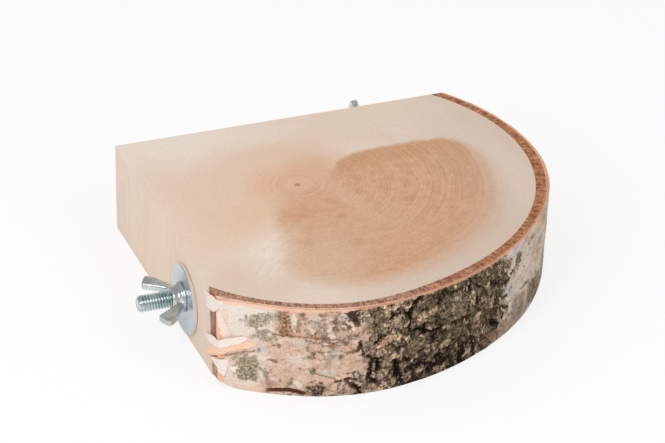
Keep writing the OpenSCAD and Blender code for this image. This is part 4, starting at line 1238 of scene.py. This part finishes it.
# tints on the wood: place, half width and half height, tilt in degrees, softness, colour, strength
WOOD_TINTS = [
    (-36, 42, 36, 17, 0, 0.8, (230, 218, 207), 0.85),
    (34, 44, 20, 12, 0, 0.8, (219, 199, 180), 0.5),
    (-36, -58, 17, 13, 0, 0.8, (211, 186, 165), 0.6),
    (70, -12, 12, 30, 0, 0.8, (217, 201, 188), 0.7),
    (-20, -4, 34, 28, 0, 0.7, (226, 202, 179), 0.65),
    (-6, 8, 25, 24, 0, 0.65, (223, 192, 165), 0.8),
    (-30, -16, 16, 22, 20, 0.8, (223, 196, 170), 0.6),
    (0, 27, 17, 6, 4, 0.8, (219, 190, 164), 0.5),
    (-1, 1, 16, 14, 0, 0.5, (219, 174, 146), 0.8),
    (6, -10, 12, 14, 0, 0.7, (219, 180, 151), 0.7),
    (-42, 10, 6, 22, 10, 0.8, (224, 197, 172), 0.4),
    (-27, -16, 15, 10, 0, 0.8, (222, 191, 162), 0.5),
    (10, 13, 9, 8, 0, 0.9, (208, 164, 128), 0.5),
    (-20, -20, 10, 14, 0, 0.9, (221, 184, 152), 0.4),
    (-48, -30, 12, 10, 0, 0.9, (222, 196, 168), 0.4),
]
STAIN_TINTS = [
    (40, 13, 26, 6, 3, 0.6, (190, 137, 92), 0.75),
    (21, 13, 9, 6, 40, 0.8, (189, 137, 96), 0.6),
    (57, -6, 9, 24, 0, 0.6, (190, 144, 112), 0.6),
    (36, -44, 24, 15, 35, 0.8, (195, 148, 113), 0.6),
    (-12, -52, 13, 17, 0, 0.7, (208, 178, 153), 0.8),
    (10.5, -10, 3.5, 12, 10, 0.8, (216, 178, 148), 0.6),
    (14, -22, 2.2, 11, 16, 0.9, (218, 182, 154), 0.35),
    (4, -34, 22, 16, 0, 0.9, (209, 167, 135), 0.6),
    (-11, -21, 9, 2.8, 8, 0.5, (198, 144, 105), 0.7),
    (-13, -39, 3.5, 2.6, 0, 0.6, (195, 147, 113), 0.6),
    (4, -44, 2.2, 3, 0, 0.6, (194, 144, 110), 0.6),
    (5, -25, 2, 1.6, 0, 0.6, (186, 134, 98), 0.7),
    (31, -21, 2.4, 2, 0, 0.6, (182, 130, 98), 0.7),
    (16, -38, 1.6, 3, 20, 0.6, (190, 142, 112), 0.5),
    (-4, -12, 10, 3.4, 18, 0.7, (210, 158, 127), 0.6),
]
STAIN_REACH = 80
STAIN_STEPS = 33
# the pale patch, written as the tints are
BRUSHED_PATCH = (-27, -42, 8, 20, -28, 0.7, (240, 230, 220), 1)
# growth rings drift away from the pith as they widen
RING_DRIFT = (2.1, -1)
RING_REACH = 82
RING_PITCH = 1.12
WIDE_RING_PITCH = 3.1


def stain_curve():
    turns = []
    for x, y in STAIN_OUTLINE:
        dx, dy = x - STAIN_CENTRE[0], y - STAIN_CENTRE[1]
        turns.append(((math.atan2(dy, dx) / (2 * math.pi)) % 1, math.hypot(dx, dy) / STAIN_REACH))
    angles, reaches = zip(*sorted(turns))
    steps = np.linspace(0, 1, STAIN_STEPS)
    return list(zip(steps, np.interp(steps, angles, reaches, period=1)))


def wood_material():
    sheet = Sheet("sanded_birch", Specular_IOR_Level=0.3)
    x, y, z = upright(sheet), sheet.y, sheet.z
    level = sheet.vector(x, y, 0)
    sway = sheet.noise(level, 0.045, 3, 0.5)
    sway_fine = sheet.noise(level, 0.22, 3, 0.5)
    wander = (sway_fine - 0.5) * 7
    cloud = sheet.noise(level, 0.03, 4, 0.6)
    mottle = sheet.noise(level, 0.25, 4, 0.65)
    grain = sheet.noise((x, y, z * 0.06), 1.1, 4, 0.65)
    vessels = sheet.noise((x * 2.2, y * 0.9, z * 0.05), 1.3, 3, 0.7)
    flecks = sheet.noise((x * 0.8, y * 2.2, z), 1.5, 2, 0.6)
    speckle = sheet.noise(sheet.place, 3, 3, 0.6)

    # growth rings
    px, py = x - PITH[0], y - PITH[1]
    dot = px * RING_DRIFT[0] + py * RING_DRIFT[1]
    square = px * px + py * py
    middle = sheet.math("SQRT", square)
    rest = RING_REACH ** 2 - RING_DRIFT[0] ** 2 - RING_DRIFT[1] ** 2
    ring = (sheet.math("SQRT", dot * dot + square * rest) - dot) * (RING_REACH / rest)
    ring = ring + (sway - 0.5) * 5 + (sway_fine - 0.5) * 0.4
    uneven = sheet.noise((ring * 0.09, 0, 0), 1, 1, 0.5)
    bold = sheet.noise((ring * 0.22, 3, 0), 1, 2, 0.6)
    bands = sheet.noise((ring * 0.92, 7, 0), 1, 3, 0.65).fade(0.36, 0.64)

    def ring_wave(pitch, swing):
        return sheet.math("SINE", ring * (2 * math.pi / pitch) + uneven * swing) * 0.5 + 0.5

    late = ring_wave(RING_PITCH, 16) * 0.3 + bands * 0.7
    broad = ring_wave(WIDE_RING_PITCH, 12)
    rings = late * bold.fade(0.3, 0.7, 0.25, 1)

    # the stained heart
    sx, sy = x - STAIN_CENTRE[0], y - STAIN_CENTRE[1]
    turn = sheet.math("FRACT", sheet.math("ARCTAN2", sy, sx) / (2 * math.pi) + 1)
    beyond = sheet.length(sx, sy) - sheet.curve(turn, stain_curve()) * STAIN_REACH + wander * 0.45
    soft = sheet.curve(turn, STAIN_SOFTNESS)
    stain = (beyond / (soft * 13)).fade(-1, 0.5, 1, 0)

    def tint(place_x, place_y, wide, high, tilt, blur, shade, strength):
        cosine, sine = math.cos(math.radians(tilt)), math.sin(math.radians(tilt))
        dx, dy = x - place_x + wander * 0.5, y - place_y + wander * 0.5
        span = sheet.length((dx * cosine + dy * sine) / wide, (dy * cosine - dx * sine) / high)
        return span.fade(1 - blur, 1 + blur, strength, 0), shade

    sawn = z.fade(32.9, 32.6) * y.fade(18, 42)
    heart = sheet.mix(mottle.fade(0.34, 0.66), (193, 144, 108), (208, 163, 131))
    heart = heart.coated(*(tint(*facts) for facts in STAIN_TINTS))
    colour = sheet.mix(cloud.fade(0.35, 0.65), (227, 211, 197), (223, 202, 186))
    colour = colour.coated(
        # painted shade: darker towards the right and the front
        ((x * 0.9 - y * 0.6).fade(5, 75), (207, 187, 170)),
        *(tint(*facts) for facts in WOOD_TINTS),
        (sawn * 0.6, (221, 198, 180)),
        (stain * 0.96, heart),
    )
    # where the brushing left it bright: strands that run down to the left
    strands = sheet.noise(((x * 0.79 + y * 0.61) * 0.14, (y * 0.79 - x * 0.61) * 0.55, 0), 1, 4, 0.65, 0.4)
    share, shade = tint(*BRUSHED_PATCH)
    colour = colour.coated((share * strands.fade(0.32, 0.8, 0.2, 0.6), shade))
    patchy = sheet.noise(level, 0.12, 2, 0.5).fade(0.35, 0.65, 0.3, 1)
    near_pith = middle.fade(3, 20, 0.5, 0)
    ringed = x.fade(2, 24, 0.4, 1) * y.fade(-60, -20, 0.45, 1)
    colour = colour.coated(
        (middle.fade(9, 24, 0.22, 0) * broad * patchy, (208, 152, 124)),
        (middle.fade(9, 24, 0.12, 0) * (1 - broad) * patchy, (238, 206, 178)),
        (rings * (stain * ringed * 0.3 + near_pith * 0.5 + 0.06), (176, 118, 82)),
        ((1 - late) * (stain * ringed * 0.2 + near_pith * 0.28 + 0.05), (237, 201, 166)),
        (middle.fade(0.5, 1.4, 0.75, 0), (160, 106, 70)),
        (grain.fade(0.3, 0.62, 0.16, 0), (180, 142, 112)),
        (vessels.fade(0.56, 0.72, 0, 0.3) * (stain * 0.7 + 0.3), (168, 120, 86)),
        (vessels.fade(0.42, 0.3, 0, 0.24) * (stain * 0.6 + 0.4), (238, 214, 190)),
        (speckle.fade(0.55, 0.75, 0, 0.08), (245, 234, 222)),
        (flecks.fade(0.56, 0.7, 0, 0.5) * stain, (236, 194, 150)),
        (flecks.fade(0.44, 0.3, 0, 0.4) * stain, (174, 120, 82)),
    )
    return sheet.finish(colour, grain.fade(0.3, 0.7, 0.72, 0.58), (grain, 0.05), (rings, 0.02))


def zinc_material(name, tint, worn, rough, rim_highlight_axis=None):
    sheet = Sheet(name, Metallic=1)
    blotch = sheet.noise(sheet.place, 0.22, 3, 0.5)
    fine = sheet.noise(sheet.place, 3, 3, 0.6)
    colour = sheet.mix(blotch.fade(0.35, 0.65), tint, worn)
    colour = colour.coated((fine.fade(0.64, 0.8, 0, 0.25), (120, 134, 142)))
    if rim_highlight_axis is not None:
        # painted highlight: a washer's rim is drawn brighter than its face
        facing = sheet.split(sheet.value("ShaderNodeTexCoord", (), "Normal"))[rim_highlight_axis]
        colour = colour.coated((sheet.math("ABSOLUTE", facing).fade(0.8, 0.4), (237, 240, 236)))
    return sheet.finish(colour, blotch.fade(0.3, 0.7, rough, rough + 0.08), (fine, 0.008))


def wear(pieces, material):
    for piece in pieces:
        piece.data.materials.clear()
        piece.data.materials.append(material)


def wear_node(name, material):
    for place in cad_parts[name].material_slots:
        place.material = material


wear(flaps, paper_material())
wear([bark], bark_material())
wear_node("wood_slab", wood_material())
wear_node("inner_bark", inner_bark_material())
wear_node("cork_layer", cork_material())
wear(bolts, zinc_material("zinc_plated_steel", (168, 192, 196), (210, 222, 223), 0.14))
wear(nuts, zinc_material("zinc_plated_nuts", (190, 198, 198), (224, 227, 226), 0.15))
for axis, name in enumerate(("left_washer", "back_washer")):
    wear_node(name, zinc_material("zinc_plated_" + name, (206, 216, 224), (218, 225, 230), 0.28, axis))


# Floor, light and background
FLOOR_REACH = 6
FLOOR_DROP = 0.0002
FLOOR_GREY = (0.9, 0.9, 0.9, 1)
FLOOR_ROUGHNESS = 0.9
FLOOR_GLOW = 0.78
WHITE_LIGHT = (1, 1, 1, 1)
WORLD_LIGHT = 0.74
WORLD_GLOSS = 0.6
LAMP_TARGET = Vector((0, 0, 0.015))


def mix_shaders(tree, *sockets):
    made = tree.nodes.new("ShaderNodeMixShader")
    for socket, place in zip(sockets, made.inputs):
        tree.links.new(socket, place)
    return made.outputs[0]


def make_floor():
    mesh = bpy.data.meshes.new("floor")
    corners = [(x * FLOOR_REACH, y * FLOOR_REACH, 0) for x, y in ((-1, -1), (1, -1), (1, 1), (-1, 1))]
    mesh.from_pydata(corners, [], [(0, 1, 2, 3)])
    floor = add_object("floor", mesh)
    floor.location.z = -FLOOR_DROP
    material = bpy.data.materials.new("pale_floor")
    material.use_nodes = True
    tree = material.node_tree
    base = tree.nodes["Principled BSDF"]
    base.inputs["Base Color"].default_value = FLOOR_GREY
    base.inputs["Roughness"].default_value = FLOOR_ROUGHNESS
    white = tree.nodes.new("ShaderNodeEmission")
    white.inputs["Strength"].default_value = 1
    # the glow is for what the camera sees, not for what lights the object
    share = tree.nodes.new("ShaderNodeMath")
    share.operation = "MULTIPLY"
    share.inputs[1].default_value = FLOOR_GLOW
    tree.links.new(tree.nodes.new("ShaderNodeLightPath").outputs["Is Camera Ray"], share.inputs[0])
    shown = mix_shaders(tree, share.outputs[0], base.outputs[0], white.outputs[0])
    tree.links.new(shown, tree.nodes["Material Output"].inputs["Surface"])
    mesh.materials.append(material)


def make_world():
    # white behind the object, softer where it lights, darker where a gloss mirrors it
    world = bpy.data.worlds.new("studio")
    bpy.context.scene.world = world
    world.use_nodes = True
    tree = world.node_tree
    path = tree.nodes.new("ShaderNodeLightPath")
    light = tree.nodes["Background"]
    light.inputs["Color"].default_value = WHITE_LIGHT
    light.inputs["Strength"].default_value = WORLD_LIGHT
    shown = light.outputs[0]
    for ray, strength in (("Is Glossy Ray", WORLD_GLOSS), ("Is Camera Ray", 1)):
        other = tree.nodes.new("ShaderNodeBackground")
        other.inputs["Strength"].default_value = strength
        shown = mix_shaders(tree, path.outputs[ray], shown, other.outputs[0])
    tree.links.new(shown, tree.nodes["World Output"].inputs["Surface"])


def add_lamp(name, place, size, energy):
    data = bpy.data.lights.new(name, "AREA")
    data.shape = "DISK"
    data.size = size
    data.energy = energy
    lamp = add_object(name, data)
    lamp.location = place
    lamp.rotation_euler = (LAMP_TARGET - Vector(place)).to_track_quat("-Z", "Y").to_euler()


make_floor()
make_world()
add_lamp("key_lamp", (-0.75, -0.6, 0.75), 0.5, 5.4)
add_lamp("fill_lamp", (0.5, -0.9, 0.8), 0.6, 2.2)
bpy.context.scene.view_settings.view_transform = "Standard"
